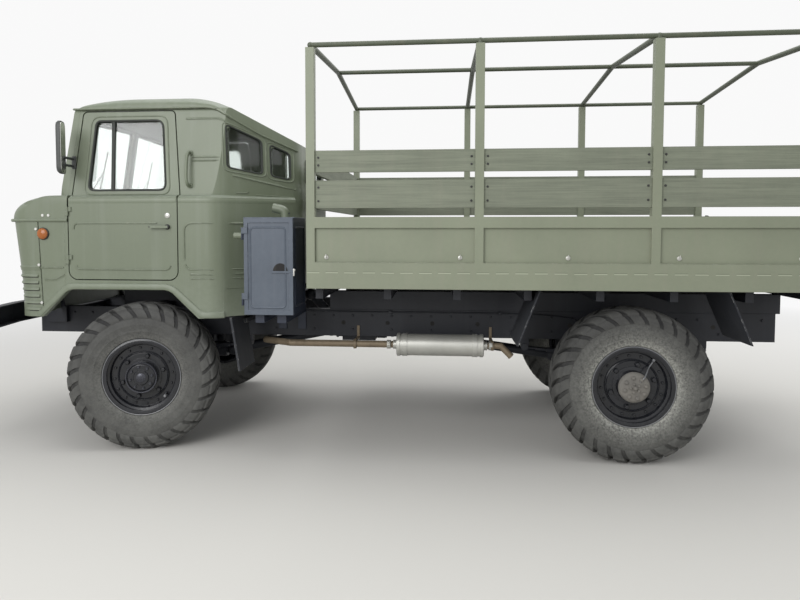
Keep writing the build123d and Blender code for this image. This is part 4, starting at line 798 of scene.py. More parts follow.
def tyre_shape(sizes):
    """Tyre as a grid of angle and section: radius and half width grow along the section's normal by the lug's height.

    In each half the angle of a column is its lug's middle, plus its place across the lug or groove, less the sweep
    that grows from the tread's middle to the sidewall. The second half is half a lug on. At the middle both halves
    have the same even columns. Returns the shape, how far each point stands out of a groove, and how much dust it
    keeps: 0.55 (1 - d / near) ^ 1.5 + 0.45 (1 - d / far), with d the distance from the bead."""
    section = TYRE_SECTION
    count = sizes.lug_count * COLUMNS_A_LUG
    pitch = 2 * pi / sizes.lug_count
    column = np.arange(count)
    within = column % COLUMNS_A_LUG
    half_lug = np.radians(section[:, 4])[:, None]
    foot = half_lug + LUG_EDGE
    groove = foot + (within[None] - 3) / 6 * (pitch - 2 * foot)
    offset = np.select(
        [within[None] == 0, within[None] == 1, within[None] == 2, within[None] <= 9, within[None] == 10],
        [0 * half_lug, 0.5 * half_lug, half_lug, groove, pitch - half_lug], pitch - 0.5 * half_lug)
    high = np.isin(within, (0, 1, 2, 10, 11)).astype(float)
    lug_start = (column // COLUMNS_A_LUG) * pitch
    warped = lug_start[None] + offset - (section[:, 3] * sizes.lug_sweep)[:, None]
    even = np.broadcast_to(column * pitch / COLUMNS_A_LUG, warped.shape)
    settle = np.clip(section[:, :1] / SETTLE_WIDTH, 0, 1)
    slope = unit(np.gradient(section[:, :2], axis=0))
    normal = np.abs(slope[:, ::-1])
    rise = section[:, 2:3] * sizes.lug_height * high[None]
    width = np.minimum(section[:, :1] + rise * normal[:, :1] * 0.5, TREAD_HALF_WIDTH)
    radius = np.minimum(section[:, 1:2] + rise * normal[:, 1:], TREAD_RADIUS)
    sides = []
    for side, shift in ((1, 0), (-1, COLUMNS_A_LUG // 2)):
        angle = (1 - settle) * even + settle * warped
        angle = np.roll(angle, shift, axis=1)
        angle = angle + np.where(column < shift, -2 * pi, 0.0)[None] + shift * pitch / COLUMNS_A_LUG
        w, r = np.roll(width, shift, axis=1), np.roll(radius, shift, axis=1)
        sides.append(points_of(r * np.cos(angle), side * w, r * np.sin(angle)))
    bore = points_of(BORE_RADIUS * np.cos(even[:1]), 0.0, BORE_RADIUS * np.sin(even[:1]))
    grid = np.concatenate([sides[0][:0:-1], sides[1], bore])
    relief = np.where(section[:, 2:3] > 0, high[None], 1.0)
    relief[:2] = 0.0
    other = np.roll(relief, COLUMNS_A_LUG // 2, axis=1)
    relief = np.concatenate([relief[:0:-1], other, np.ones((1, count))])
    over = np.hypot(grid[..., 0], grid[..., 2]) - BEAD_RADIUS
    bead = 0.55 * np.clip(1 - over / NEAR_DUST, 0, 1) ** 1.5 + 0.45 * np.clip(1 - over / FAR_DUST, 0, 1)
    return (grid.reshape(-1, 3), grid_quads(len(grid), count, True, True), []), relief.ravel(), bead.ravel()


class TRUCK_OT_paint(bpy.types.Operator):
    """Gives every CAD node its weathered finish."""
    bl_idname = "truck.paint"
    bl_label = "Paint the frame"

    def execute(self, context):
        made = finishes()
        for finish, names in NODE_FINISH.items():
            for name in names:
                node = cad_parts.get(name)
                if node is None:
                    continue
                if not node.material_slots:
                    node.data.materials.append(made[finish])
                for slot in node.material_slots:
                    slot.material = made[finish]
        painted = {n for names in NODE_FINISH.values() for n in names}
        bare = sorted(set(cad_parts) - painted)
        if bare:
            raise RuntimeError(f"no finish for {bare}")
        return {"FINISHED"}


class TRUCK_OT_tyres(bpy.types.Operator):
    """Lugged tyres in place of the plain ones."""
    bl_idname = "truck.tyres"
    bl_label = "Tyres"

    def execute(self, context):
        shape, relief, bead = tyre_shape(context.scene.truck_sizes)
        for name, *place in WHEELS:
            dust = bead * (FRONT_DUST if name.startswith("front") else REAR_DUST)
            piece = build("lugged_tyre_" + name, [at_wheel(shape, *place)], "tyre_rubber", "wheel_" + name,
                          sharp=38, attributes={"raise": relief, "bead": dust})
            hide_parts("tyre_" + name)
        return {"FINISHED"}


# Turned parts of a wheel, as profiles of (distance out from the wheel's middle, radius)
DISC_RINGS = ([(0.128, 0.240), (0.134, 0.244), (0.134, 0.250), (0.128, 0.252)],
              [(0.079, 0.160), (0.084, 0.166), (0.080, 0.172), (0.069, 0.172)])
RIM_EDGE = [(0.125, 0.2575), (0.1325, 0.2575), (0.1335, 0.2615), (0.130, 0.2635), (0.125, 0.2625)]
FLANGE_RING = [(0.138, 0.098), (0.148, 0.098), (0.149, 0.104), (0.138, 0.107)]
FLANGE_CAP = [(0.146, 0.040), (0.152, 0.036), (0.160, 0.022)]
HUB_CAP = [(0.086, 0.1010), (0.092, 0.0992), (0.138, 0.0985), (0.150, 0.091), (0.1565, 0.078)]
CAP_PLUG = [(0.156, 0.014), (0.172, 0.012), (0.175, 0.006)]
VALVE = [(-0.012, 0.009), (0.012, 0.009), (0.014, 0.006)]
# Inflation pipe: its angle on a left and on a right wheel in degrees, then its places as (radius, distance out)
FRONT_PIPE = (-42, -138, [(0.196, 0.072), (0.197, 0.100), (0.202, 0.112)])
REAR_PIPE = (52, 128, [(0.050, 0.158), (0.085, 0.168), (0.110, 0.150), (0.160, 0.100), (0.196, 0.098), (0.214, 0.084)])


class TRUCK_OT_wheels(bpy.types.Operator):
    """Bolts, hub parts, bright edges and inflation pipes of the wheels."""
    bl_idname = "truck.wheels"
    bl_label = "Wheel fittings"

    def execute(self, context):
        middle, out = (0, 0, 0), RIGHTWARD

        def bolts(y, circle_radius, count, start, radius, height):
            return heads(circle_places(y, circle_radius, count, start), out, radius, height)

        for name, *place in WHEELS:
            front = name.startswith("front")

            def fit(piece, shapes, finish):
                build(piece + name, [at_wheel(s, *place) for s in shapes], finish, "wheel_" + name)

            fit("wheel_bolts_", [bolts(0.070, 0.194, 16, 0.1, 0.0095, 0.012), bolts(0.080, 0.141, 6, 0.3, 0.017, 0.022)]
                + [ring_of(profile, middle, out, 64) for profile in DISC_RINGS], "rim_black")
            if front:
                fit("hub_flange_", [ring_of(FLANGE_RING, middle, out), bolts(0.146, 0.074, 8, 0.2, 0.0105, 0.012),
                                    turned(FLANGE_CAP, middle, out, 24)], "hub_steel")
            fit("wheel_edges_", [ring_of(RIM_EDGE, middle, out, 72)], "bright_edge")
            if not front:
                fit("hub_cap_", [turned(HUB_CAP, middle, out, 40), bolts(0.1565, 0.066, 8, 0.2, 0.013, 0.013),
                                 bolts(0.1565, 0.028, 5, 0.6, 0.010, 0.012), turned(CAP_PLUG, middle, out, 16)],
                    "cast_grey")
            on_left, on_right, run = FRONT_PIPE if front else REAR_PIPE
            t = radians(on_left if place[2] < 0 else on_right)
            run = [(r * np.cos(t), y, r * np.sin(t)) for r, y in run]
            fit("inflation_pipe_", [tube(softened(run, 2), 0.0042, 10), turned(VALVE, run[-1], out, 12)], "bright_edge")
        return {"FINISHED"}


# Pressed lines on the cab: piece, corners in x and z, reach of the corners, width of the slope, side of the field
DOOR_LINES = [
    ([(-0.438, 1.510), (-0.438, 1.545), (0.150, 1.545)], 0.030, 0.013, 1),
    ([(-0.425, 1.262), (-0.415, 1.238), (0.225, 1.238), (0.240, 1.262)], 0.018, 0.013, -1),
]
SIDE_LINES = [
    ([(0.345, 1.300), (0.345, 1.545), (0.900, 1.545)], 0.055, 0.013, 1),
    ([(0.350, 1.272), (0.366, 1.240), (0.960, 1.240)], 0.020, 0.014, -1),
    ([(0.380, 1.198), (0.960, 1.198)], 0.010, 0.013, 1),
    ([(0.385, 1.178), (0.960, 1.178)], 0.010, 0.013, -1),
    ([(0.330, 2.258), (0.560, 2.258), (0.600, 2.238)], 0.020, 0.013, 1),
    ([(0.375, 1.982), (0.595, 1.982)], 0.010, 0.013, -1),
    ([(0.375, 1.996), (0.595, 1.996)], 0.010, 0.013, 1),
    ([(0.640, 1.874), (1.010, 1.790)], 0.010, 0.014, 1),
    ([(0.660, 1.762), (0.720, 1.762), (0.728, 1.775)], 0.006, 0.010, -1),
    ([(0.775, 1.752), (1.005, 1.742)], 0.010, 0.012, -1),
]
NOSE_LINES = [
    ([(-0.690, 1.249), (-0.525, 1.249)], 0.010, 0.014, -1),
    ([(-0.660, 1.168), (-0.580, 1.168), (-0.520, 1.200)], 0.020, 0.018, -1),
]

# The belt's roll: out from the lower panel's edge and up from the belt
BELT_ROLL = np.array([(0.036, 0.0), (0.020, 0.002), (0.006, 0.000), (-0.006, -0.008), (-0.014, -0.022),
                      (-0.020, -0.045), (-0.021, -0.075), (0.0, -0.080), (0.040, -0.030)])
# Where the roll runs on the door and on the panel behind it
DOOR_BELT, SIDE_BELT = (-0.474, 0.285), (0.300, 1.020)
# Doors: end of a piece's name, body, and whether a left door's shape is mirrored for it
DOORS = (("left", "left_door", False), ("right", "right_door", True))


class TRUCK_OT_pressings(bpy.types.Operator):
    """Pressed edges, the belt's roll and the ribs of the cab's panels."""
    bl_idname = "truck.pressings"
    bl_label = "Cab pressings"

    def execute(self, context):
        rise = context.scene.truck_sizes.rib_rise

        def lines(table):
            """A narrow slope rises less."""
            return [on_cab(c, r, LEFT, step_profile(w, rise * (1.0 if w > 0.012 else 0.6), t)) for c, r, w, t in table]

        def roll(ends):
            x = np.linspace(*ends, 60)
            return swept(cab_face(x, BELT, LEFT), BELT_ROLL, cab_normal(x, BELT - 0.01, LEFT))

        door = lines(DOOR_LINES) + [roll(DOOR_BELT)]
        for name, body, flip in DOORS:
            build("door_pressings_" + name, [moved(s, mirror=flip) for s in door], "cab_paint", body)
        build("cab_pressings", both_sides(lines(SIDE_LINES) + [roll(SIDE_BELT)]), "cab_paint", "cab")
        build("nose_pressings", both_sides(lines(NOSE_LINES)), "cab_paint", "cab")
        return {"FINISHED"}


# Windows on the cab's sides: corners in x and z, reach of the corners
DOOR_WINDOW = ([(-0.364, 1.778), (-0.312, 2.256), (0.166, 2.256), (0.192, 1.778)], [0.045, 0.035, 0.055, 0.05])
QUARTER_WINDOWS = [
    ([(0.612, 1.932), (0.606, 2.222), (0.808, 2.128), (0.812, 1.896)], 0.028),
    ([(0.862, 1.888), (0.856, 2.108), (0.976, 2.052), (0.980, 1.866)], 0.028),
]

# The windscreen's plane: row of its foot at the belt, its lean for each metre up, and its outward direction
SCREEN_FOOT, SCREEN_LEAN, SCREEN_NORMAL = -0.570, 0.1607, (-0.987, 0, 0.159)


def screen_line(points, reach):
    """Points in y and z on the windscreen's plane: x is its foot plus the lean for each metre above the belt."""
    flat = rounded(points, reach)
    return points_of(row(SCREEN_FOOT) + (flat[:, 1] - BELT) * SCREEN_LEAN, flat[:, 0], flat[:, 1])


# Row of the upright bar in a door's window, places of the wipers in y, and the screen in the cab's rear wall
BAR_ROW, WIPERS, REAR_SCREEN_ROW = -0.190, (-0.50, 0.30), 1.038


class TRUCK_OT_windows(bpy.types.Operator):
    """Rubbers round the windows, vent dividers and wipers."""
    bl_idname = "truck.windows"
    bl_label = "Window trim"

    def execute(self, context):
        w = context.scene.truck_sizes.rubber_width
        bead = np.array([(-0.45 * w, -0.016), (-0.5 * w, 0.001), (-0.25 * w, 0.006), (0.2 * w, 0.005),
                         (0.45 * w, 0.001), (0.5 * w, -0.016)])
        rim = np.array([(-0.006, -0.004), (-0.004, 0.003), (0.0, 0.005), (0.004, 0.003), (0.006, -0.004)])

        def grown(corners, by):
            c = np.array(corners, float)
            return c + np.sign(c - c.mean(0)) * by

        corners, reach = DOOR_WINDOW
        door = [on_cab(corners, reach, LEFT, bead, True)]
        outer = [on_cab(grown(corners, 0.030), 0.06, LEFT, rim, True)]
        z = np.linspace(1.775, 2.258, 12)
        x = np.full(12, BAR_ROW)
        bar = np.array([(-0.011, -0.020), (-0.011, 0.000), (0.011, 0.000), (0.011, -0.020)])
        door.append(swept(cab_face(x, z, LEFT, -0.002), bar, cab_normal(x, z, LEFT)))
        for name, body, flip in DOORS:
            build("door_window_rubber_" + name, [moved(s, mirror=flip) for s in door], "window_rubber", body)
            build("door_window_rim_" + name, [moved(s, mirror=flip) for s in outer], "cab_paint", body)
        quarter = [on_cab(c, r, LEFT, bead * (0.8, 1.0), True) for c, r in QUARTER_WINDOWS]
        edges = [on_cab(grown(c, 0.022), 0.04, LEFT, rim, True) for c, _ in QUARTER_WINDOWS]
        screens = []
        for side in (LEFT, RIGHT):
            line = screen_line([(side * 0.034, BELT + 0.066), (side * 0.034, 2.288), (side * 0.735, 2.272),
                                (side * 0.775, BELT + 0.070)], [0.03, 0.03, 0.06, 0.06])
            screens.append(swept(line, bead, SCREEN_NORMAL, True))
        back = rounded([(-0.33, 1.86), (0.33, 1.86), (0.33, 2.03), (-0.33, 2.03)], 0.03)
        back = points_of(row(REAR_SCREEN_ROW), back[:, 0], back[:, 1])
        screens.append(swept(back, bead, REARWARD, True))
        build("fixed_window_rubbers", both_sides(quarter) + screens, "window_rubber", "cab")
        build("quarter_window_rims", both_sides(edges), "cab_paint", "cab")
        wipers = []
        for y in WIPERS:
            foot = np.array([row(-0.580), y, 1.752])
            tip = np.array([row(-0.549) - 0.004, y + 0.16, 1.960])
            wipers.append(tube(softened([foot + (0.012, 0, -0.012), foot + (-0.014, 0, 0.004), tip], 2), 0.004, 8))
            wipers.append(turned([(-0.012, 0.012), (0.010, 0.012), (0.014, 0.008)], foot, SCREEN_NORMAL, 14))
            blade = [tip + (0.155 * -0.159, 0.0, 0) + (0.000, -0.02, -0.150), tip + (0.025, 0.02, 0.150)]
            wipers.append(tube(np.linspace(blade[0], blade[1], 6) - (0.002, 0, 0), 0.005, 8))
        build("wipers", wipers, "black_trim", "cab")
        return {"FINISHED"}


# Nose: heights of the front panel's foot, of the lip and of the bonnet's top, and the row where the nose ends
PANEL_FOOT, LIP, BONNET_TOP = 0.903, 1.572, 1.742
NOSE_BACK = -0.487
# Opening of the grille: half width, lower and upper edge. Lamps: distance from the middle, height, hole's radius
GRILLE = (0.478, 1.112, 1.508)
HEADLAMP = (0.69, 1.29, 0.116)
LOUVRES, FIRST_LOUVRE, LOUVRE_PITCH = 6, 1.188, 0.0465


def panel_line(z):
    """The front panel's line from above at a height: it leans forward evenly from its foot to the lip."""
    low = wrap_line(0.848, 0.983, 0.14, -0.6765)
    top = wrap_line(0.925, 0.983, 0.14, -0.7045)
    share = (np.asarray(z, float) - PANEL_FOOT) / (LIP - PANEL_FOOT)
    return low + (top - low) * share


class TRUCK_OT_nose(bpy.types.Operator):
    """Front panel, domed bonnet, lip, louvres and grille frame."""
    bl_idname = "truck.nose"
    bl_label = "Nose"

    def execute(self, context):
        # Front panel: points low + (top - low) * share of the height, without the grille's and the lamps' openings
        share = np.linspace(0, 1, 96)[:, None, None]
        low, top = panel_line(PANEL_FOOT), panel_line(LIP)
        flat = low + (top - low) * share
        z = np.broadcast_to(PANEL_FOOT + (LIP - PANEL_FOOT) * share, flat[..., :1].shape)
        points = np.concatenate([row(flat[..., :1]), flat[..., 1:], z], -1)
        quads = grid_quads(*points.shape[:2])
        points = points.reshape(-1, 3)
        middle = points[quads].mean(1)
        half, z0, z1 = GRILLE
        ahead = middle[:, 0] < row(-0.82)
        grille = (np.abs(middle[:, 1]) < half) & (middle[:, 2] > z0) & (middle[:, 2] < z1)
        y, height, radius = HEADLAMP
        lamp = np.hypot(np.abs(middle[:, 1]) - y, middle[:, 2] - height) < radius
        inward = np.tile(-0.004 * outwards(low), (96, 1))
        panel = thickened(points, quads[~(ahead & (grille | lamp))], inward)
        build("front_panel", [panel], "cab_paint", "cab", sharp=40)
        # Bonnet: superellipse sections from the lip to the windscreen's foot, squarer at the sides
        outer = wrap_line(0.935, 0.985, 0.15, NOSE_BACK)
        inner = wrap_line(0.566, 0.9225, 0.06, NOSE_BACK)
        t = np.linspace(0, pi / 2, 22)[:, None]
        front = np.clip((-outer[:, 0] - 0.60) / 0.25, 0, 1)
        power = 2 / (8 - 5.6 * front ** 2 * (3 - 2 * front))
        across, up = 1 - np.cos(t) ** power, np.sin(t) ** power
        flat = outer + (inner - outer) * across[..., None]
        z = LIP + (BONNET_TOP - LIP) * up
        points = np.concatenate([row(flat[..., :1]), flat[..., 1:], z[..., None]], -1)
        rows, columns = points.shape[:2]
        ends = np.arange(rows) * columns
        caps = [ends.tolist(), (ends + columns - 1).tolist()]
        bonnet = (points.reshape(-1, 3), grid_quads(rows, columns, True), caps)
        build("bonnet", [bonnet], "cab_paint", "cab", sharp=40)
        line = wrap_line(0.957, 0.994, 0.165, NOSE_BACK)
        bead = np.array([(-0.012, -0.060), (-0.012, -0.006), (-0.007, -0.001), (0.003, 0.0), (0.009, -0.005),
                         (0.009, -0.060)])
        build("nose_lip", [swept(placed(line, LIP), bead, outwards(line))], "cab_paint", "cab")
        # Crease and louvres on both corners of the panel, with a near-black strip of painted shade in the opening
        # under each louvre's hood
        hoods, slit_shades = [], []
        ridge = np.array([(0.010, -0.003), (0.006, 0.004), (0.0, 0.006), (-0.012, 0.003), (-0.026, 0.0),
                          (-0.026, -0.003)])
        hood = np.array([(0.013, -0.003), (0.008, 0.004), (0.0, 0.008), (-0.008, 0.009), (-0.009, 0.005),
                         (-0.007, -0.003)])
        slit = np.array([(-0.008, -0.002), (-0.008, 0.0035), (-0.014, 0.0015), (-0.014, -0.002)])

        def part(z, first, last):
            """Columns of the panel's line at a height, with their outward directions."""
            line = panel_line(z)
            path, lift = placed(line, z), outwards(line)
            return path[first:last], lift[first:last]

        path, lift = part(1.249, 1, 38)
        crease = [swept(path, ridge, lift)]
        for number in range(LOUVRES):
            path, lift = part(FIRST_LOUVRE - LOUVRE_PITCH * number, 7, 33)
            hoods.append(swept(path, hood, lift))
            slit_shades.append(swept(path, slit, lift))
        build("panel_creases", both_sides(crease), "cab_paint", "cab")
        build("panel_louvres", both_sides(hoods), "cab_paint", "cab")
        build("louvre_slit_shades", both_sides(slit_shades), "painted_hole_shade", "cab")
        corners = rounded([(-half, z0), (half, z0), (half, z1), (-half, z1)], 0.03)
        depth = 0.848 + 0.077 * (corners[:, 1] - PANEL_FOOT) / (LIP - PANEL_FOOT)
        path = points_of(row(-depth), corners[:, 0], corners[:, 1])
        surround = np.array([(-0.020, -0.004), (-0.017, 0.005), (-0.006, 0.009), (0.006, 0.006), (0.009, -0.004),
                             (0.009, -0.055), (0.003, -0.055), (0.0, -0.008)])
        core = [plate((-2.528, 0, 1.312), LEFTWARD, UPWARD, 0.90, 0.366, 0.004, 0.01, 0.001)]
        core += [plate((-2.532, y, 1.312), LEFTWARD, UPWARD, 0.005, 0.35, 0.004, 0.001, 0.0005)
                 for y in np.linspace(-0.44, 0.44, 56)]
        build("grille_screen", core, "black_trim", "cab")
        build("grille_surround", [swept(path, surround, FORWARD, True)], "cab_paint", "cab")
        return {"FINISHED"}


# Roof: height of its foot, rows of its ends, height of the dome, the rear slope's fall for each metre, the length
# over which dome and slope blend, and the numbers of rows and columns
ROOF_FOOT, ROOF_FRONT, ROOF_REAR, ROOF_RISE, ROOF_FALL, ROOF_BLEND = 2.338, -0.481, 0.640, 0.122, 0.613, 0.09
ROOF_ROWS, ROOF_COLUMNS = 70, 61
# Gutter on the cab's side in x and z: level under the dome, then down beside the rear slope
GUTTER = [(-0.478, 2.341), (0.500, 2.341), (0.565, 2.318), (0.650, 2.262), (0.800, 2.172), (1.020, 2.076)]


class TRUCK_OT_roof(bpy.types.Operator):
    """Domed roof and the gutter that follows its edge."""
    bl_idname = "truck.roof"
    bl_label = "Roof"

    def execute(self, context):
        # Places closer together at both ends: middle - half * cos t
        t = np.linspace(0, pi, ROOF_ROWS)
        x = 0.5 * (ROOF_FRONT + ROOF_REAR) - 0.5 * (ROOF_REAR - ROOF_FRONT) * np.cos(t)
        # Height along the roof: a quarter ellipse at the front, then the lesser of its crown and the falling slope,
        # the two blended
        ahead = np.clip((-0.06 - x) / (-0.06 - ROOF_FRONT), 0, 1)
        crown = ROOF_RISE * np.sqrt(1 - ahead ** 2)
        slope = ROOF_FALL * (ROOF_REAR - x)
        share = np.clip(0.5 + 0.5 * (slope - crown) / ROOF_BLEND, 0, 1)
        along = slope * (1 - share) + crown * share - ROOF_BLEND * share * (1 - share)
        along = np.maximum(along, 0)
        half = np.minimum(np.interp(x, UPPER_PLAN[:, 0], UPPER_PLAN[:, 1]), 0.8795) + 0.004
        half = half * (1 - 0.05 * np.clip((-0.40 - x) / 0.08, 0, 1) ** 2)
        s = np.sin(np.linspace(-pi / 2, pi / 2, ROOF_COLUMNS))
        across = (1 - np.abs(s) ** 3) ** (1 / 3)
        # The side edges leave the foot where the gutter falls, so that they end inside the sloping rear
        foot = ROOF_FOOT - 0.075 * np.clip((x - 0.50) / 0.14, 0, 1)[:, None] ** 1.5
        z = foot + (ROOF_FOOT - foot + along[:, None]) * across
        y = half[:, None] * s
        points = points_of(row(x)[:, None], y, z).reshape(-1, 3)
        dome = thickened(points, grid_quads(ROOF_ROWS, ROOF_COLUMNS), np.array([0, 0, -0.010]))
        skin = build("roof_dome", [dome], "cab_paint", "cab", sharp=50)
        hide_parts("cab_roof")
        lip = np.array([(0.007, -0.003), (0.008, 0.010), (0.004, 0.015), (-0.002, 0.015), (-0.004, 0.006),
                        (-0.006, 0.005), (-0.008, -0.003)])
        sides = both_sides([on_cab(GUTTER, [0, 0.05, 0.03, 0.04, 0.05, 0], LEFT, lip)])
        y = np.linspace(-0.84, 0.84, 60)
        front = points_of(row(ROOF_FRONT), y, GUTTER[0][1])
        build("roof_gutter", sides + [swept(front, lip, FORWARD)], "cab_paint", "cab")
        return {"FINISHED"}


# Wheel arch in the cab's side, in x and z: its edge, then the skirt's foot
ARCH = [(-0.690, 0.905), (-0.485, 1.095), (0.232, 1.095), (0.447, 0.905), (0.600, 0.905)]


class TRUCK_OT_arches(bpy.types.Operator):
    """Flared lips round the front wheels and the cab's curved rear corners."""
    bl_idname = "truck.arches"
    bl_label = "Wheel arches"

    def execute(self, context):
        flare = np.array([(0.001, -0.016), (0.001, 0.006), (-0.003, 0.0115), (-0.011, 0.0135), (-0.026, 0.0115),
                          (-0.038, 0.0085), (-0.043, 0.003), (-0.043, -0.003)])
        lips = on_cab(ARCH, [0, 0.045, 0.045, 0.03, 0], LEFT, flare, dense=3)
        build("arch_lips", both_sides([lips]), "cab_paint", "cab")
        # Rear corner below the floor: the cab's side face carried on to the locker
        x, z = np.meshgrid(np.linspace(0.598, 0.790, 40), np.linspace(0.912, 1.104, 12), indexing="ij")
        points = cab_face(x, z, LEFT).reshape(-1, 3)
        corner = thickened(points, grid_quads(40, 12), -0.004 * cab_normal(x.ravel(), z.ravel(), LEFT))
        build("rear_corners", both_sides([corner]), "cab_paint", "cab", sharp=40)
        return {"FINISHED"}


# Left mirror: row, y and height of its middle, its turn towards the seats, and the brackets' row and heights
MIRROR_ROW, MIRROR_Y, MIRROR_Z, MIRROR_TURN = -0.462, -1.058, 2.056, radians(16)
BRACKET_ROW, BRACKET_FOOT, BRACKET_ARMS = -0.470, 1.970, (1.945, 1.995)


class TRUCK_OT_mirrors(bpy.types.Operator):
    """Tall mirrors turned towards the seats, on short brackets."""
    bl_idname = "truck.mirrors"
    bl_label = "Mirrors"

    def execute(self, context):
        facing = np.array([np.cos(MIRROR_TURN), np.sin(MIRROR_TURN), 0])
        across = np.array([-np.sin(MIRROR_TURN), np.cos(MIRROR_TURN), 0])
        middle = np.array([row(MIRROR_ROW), MIRROR_Y, MIRROR_Z])
        shells = [plate(middle, -across, UPWARD, 0.140, 0.350, 0.026, 0.045, 0.010)]
        glass = [plate(middle, across, UPWARD, 0.116, 0.336, 0.003, 0.040, 0.001)]
        for z in BRACKET_ARMS:
            skin = cab_face(BRACKET_ROW, z, LEFT)
            back = middle + (0, 0, z - middle[2]) - 0.014 * facing
            arm = [skin + (0, 0.006, 0), skin + (-0.010, -0.030, 0), back + (0, 0.05, 0), back]
            shells.append(tube(softened(arm, 2), 0.009, 12))
        foot = cab_face(BRACKET_ROW, BRACKET_FOOT, LEFT) + (0, 0.002, 0)
        base = plate(foot, REARWARD, UPWARD, 0.030, 0.090, 0.008, 0.008, 0.002)
        piece = build("mirror_heads", both_sides(shells + [base]), "mirror_back", "cab")
        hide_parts("mirrors")
        build("mirror_glasses", both_sides(glass), "reflector", "cab")
        return {"FINISHED"}


# Left side of the cab: y of its skin, height of the door handle and of the lock, row and heights of the grab handle,
# row and height of the side repeater, and places of the panel screws in x and z
CAB_SKIN, HANDLE_HEIGHT, LOCK_HEIGHT = -0.98, 1.524, 1.602
GRAB_ROW, GRAB_TOP, GRAB_FOOT = 0.362, 2.030, 1.806
REPEATER_ROW, REPEATER_HEIGHT = -0.664, 1.478
PANEL_SCREWS = [(-0.664, 1.604), (-0.622, 1.604), (-0.716, 1.510), (-0.700, 1.262), (-0.686, 1.000)]
LAMP_ROW = -0.90


class TRUCK_OT_cab_fittings(bpy.types.Operator):
    """Handles, locks, screws, repeaters and headlamps."""
    bl_idname = "truck.cab_fittings"
    bl_label = "Cab fittings"

    def execute(self, context):
        sizes = context.scene.truck_sizes
        grip, boss = (row(0.173), CAB_SKIN - 0.0135, HANDLE_HEIGHT), (row(0.225), CAB_SKIN, HANDLE_HEIGHT)
        handle = [plate(grip, REARWARD, UPWARD, 0.142, 0.013, 0.014, 0.006, 0.003),
                  turned([(-0.004, 0.018), (0.006, 0.018), (0.012, 0.013)], boss, LEFTWARD, 24)]
        lock = [turned([(-0.002, 0.018), (0.004, 0.018), (0.007, 0.013), (0.009, 0.006)],
                       (row(0.226), CAB_SKIN, LOCK_HEIGHT), LEFTWARD, 24)]
        for name, body, flip in DOORS:
            build("door_handle_" + name, [moved(s, mirror=flip) for s in handle], "black_trim", body)
            build("door_lock_" + name, [moved(s, mirror=flip) for s in lock], "bright_screw", body)
        top, low = (cab_face(GRAB_ROW, z, LEFT) for z in (GRAB_TOP, GRAB_FOOT))
        reach = np.array([0, -0.052, 0])
        grab = [tube(softened([top + (0, 0.004, 0), top + reach * 0.9, top + reach + (-0.008, 0, -0.05),
                               low + reach + (-0.008, 0, 0.05), low + reach * 0.9, low + (0, 0.004, 0)], 3),
                     sizes.handle_radius, 12)]
        grab += [turned([(-0.004, 0.020), (0.004, 0.020), (0.007, 0.014)], p, LEFTWARD, 18) for p in (top, low)]
        build("grab_handles", both_sides(grab), "cab_paint", "cab")
        x, z = np.array(PANEL_SCREWS).T
        build("panel_screws", both_sides([heads(cab_face(x, z, LEFT, 0.003), LEFTWARD, 0.0105, 0.007, 10)]),
              "bright_screw", "cab")
        centre = (row(REPEATER_ROW), CAB_SKIN, REPEATER_HEIGHT)
        base = [turned([(-0.003, 0.042), (0.008, 0.042), (0.011, 0.039), (0.011, 0.030)], centre, LEFTWARD, 36)]
        lens = [turned([(0.010, 0.0375), (0.017, 0.0370), (0.023, 0.031), (0.027, 0.020), (0.0290, 0.008)], centre,
                       LEFTWARD, 36)]
        holders = build("repeater_bases", both_sides(base), "black_trim", "cab")
        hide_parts("front_lamps")
        build("repeater_lenses", both_sides(lens), "amber_lens", "cab")
        rims, bowls, glasses = [], [], []
        for side in (LEFT, RIGHT):
            centre = (row(LAMP_ROW), side * HEADLAMP[0], HEADLAMP[1])
            rims.append(ring_of([(-0.045, 0.104), (-0.045, 0.124), (0.010, 0.124), (0.020, 0.117), (0.019, 0.102),
                                 (0.008, 0.092), (-0.004, 0.094)], centre, FORWARD, 56))
            bowls.append(turned([(-0.070, 0.050), (-0.042, 0.090), (0.006, 0.096), (0.005, 0.090), (-0.030, 0.060),
                                 (-0.045, 0.020)], centre, FORWARD, 48))
            glasses.append(turned([(0.009, 0.091), (0.014, 0.0915), (0.024, 0.075), (0.032, 0.045), (0.036, 0.012)],
                                  centre, FORWARD, 48))
        build("headlamp_rims", rims, "cab_paint", "cab")
        build("headlamp_bowls", bowls, "reflector", "cab")
        build("headlamp_glasses", glasses, "lamp_glass", "cab")
        return {"FINISHED"}


# Bed: x of the posts, edges of the side boards in z, y of the boards' and of the wall's face on the left, x of the
# lashing hooks, x of the gate's top and face and of the lamps' face, and the lens widths with their places in y
POSTS = -0.454 + 1.06367 * np.arange(4)
BOARDS = [(1.642, 1.818), (1.868, 2.006)]
BOARD_FACE, WALL_FACE, HOOK_HEIGHT = -1.147, -1.141, 1.330
HOOKS = (-0.355, 0.493, 1.155, 1.816, 2.520)
GATE_TOP_X, GATE_FACE_X, LAMP_FACE_X, LAMP_HEIGHT = 2.800, 2.8045, 2.7645, 0.998
RED_LENS, AMBER_LENS = (0.814, 0.088), (0.892, 0.056)
# Section of the sill in a recess between two posts, in y and z, and its distance from the posts' middles
RECESS_SILL = np.array([(1.1600, 1.2962), (1.1594, 1.2992), (1.1560, 1.3006), (1.1400, 1.3012), (1.1400, 1.2962)])
RECESS_INSET = 0.0277


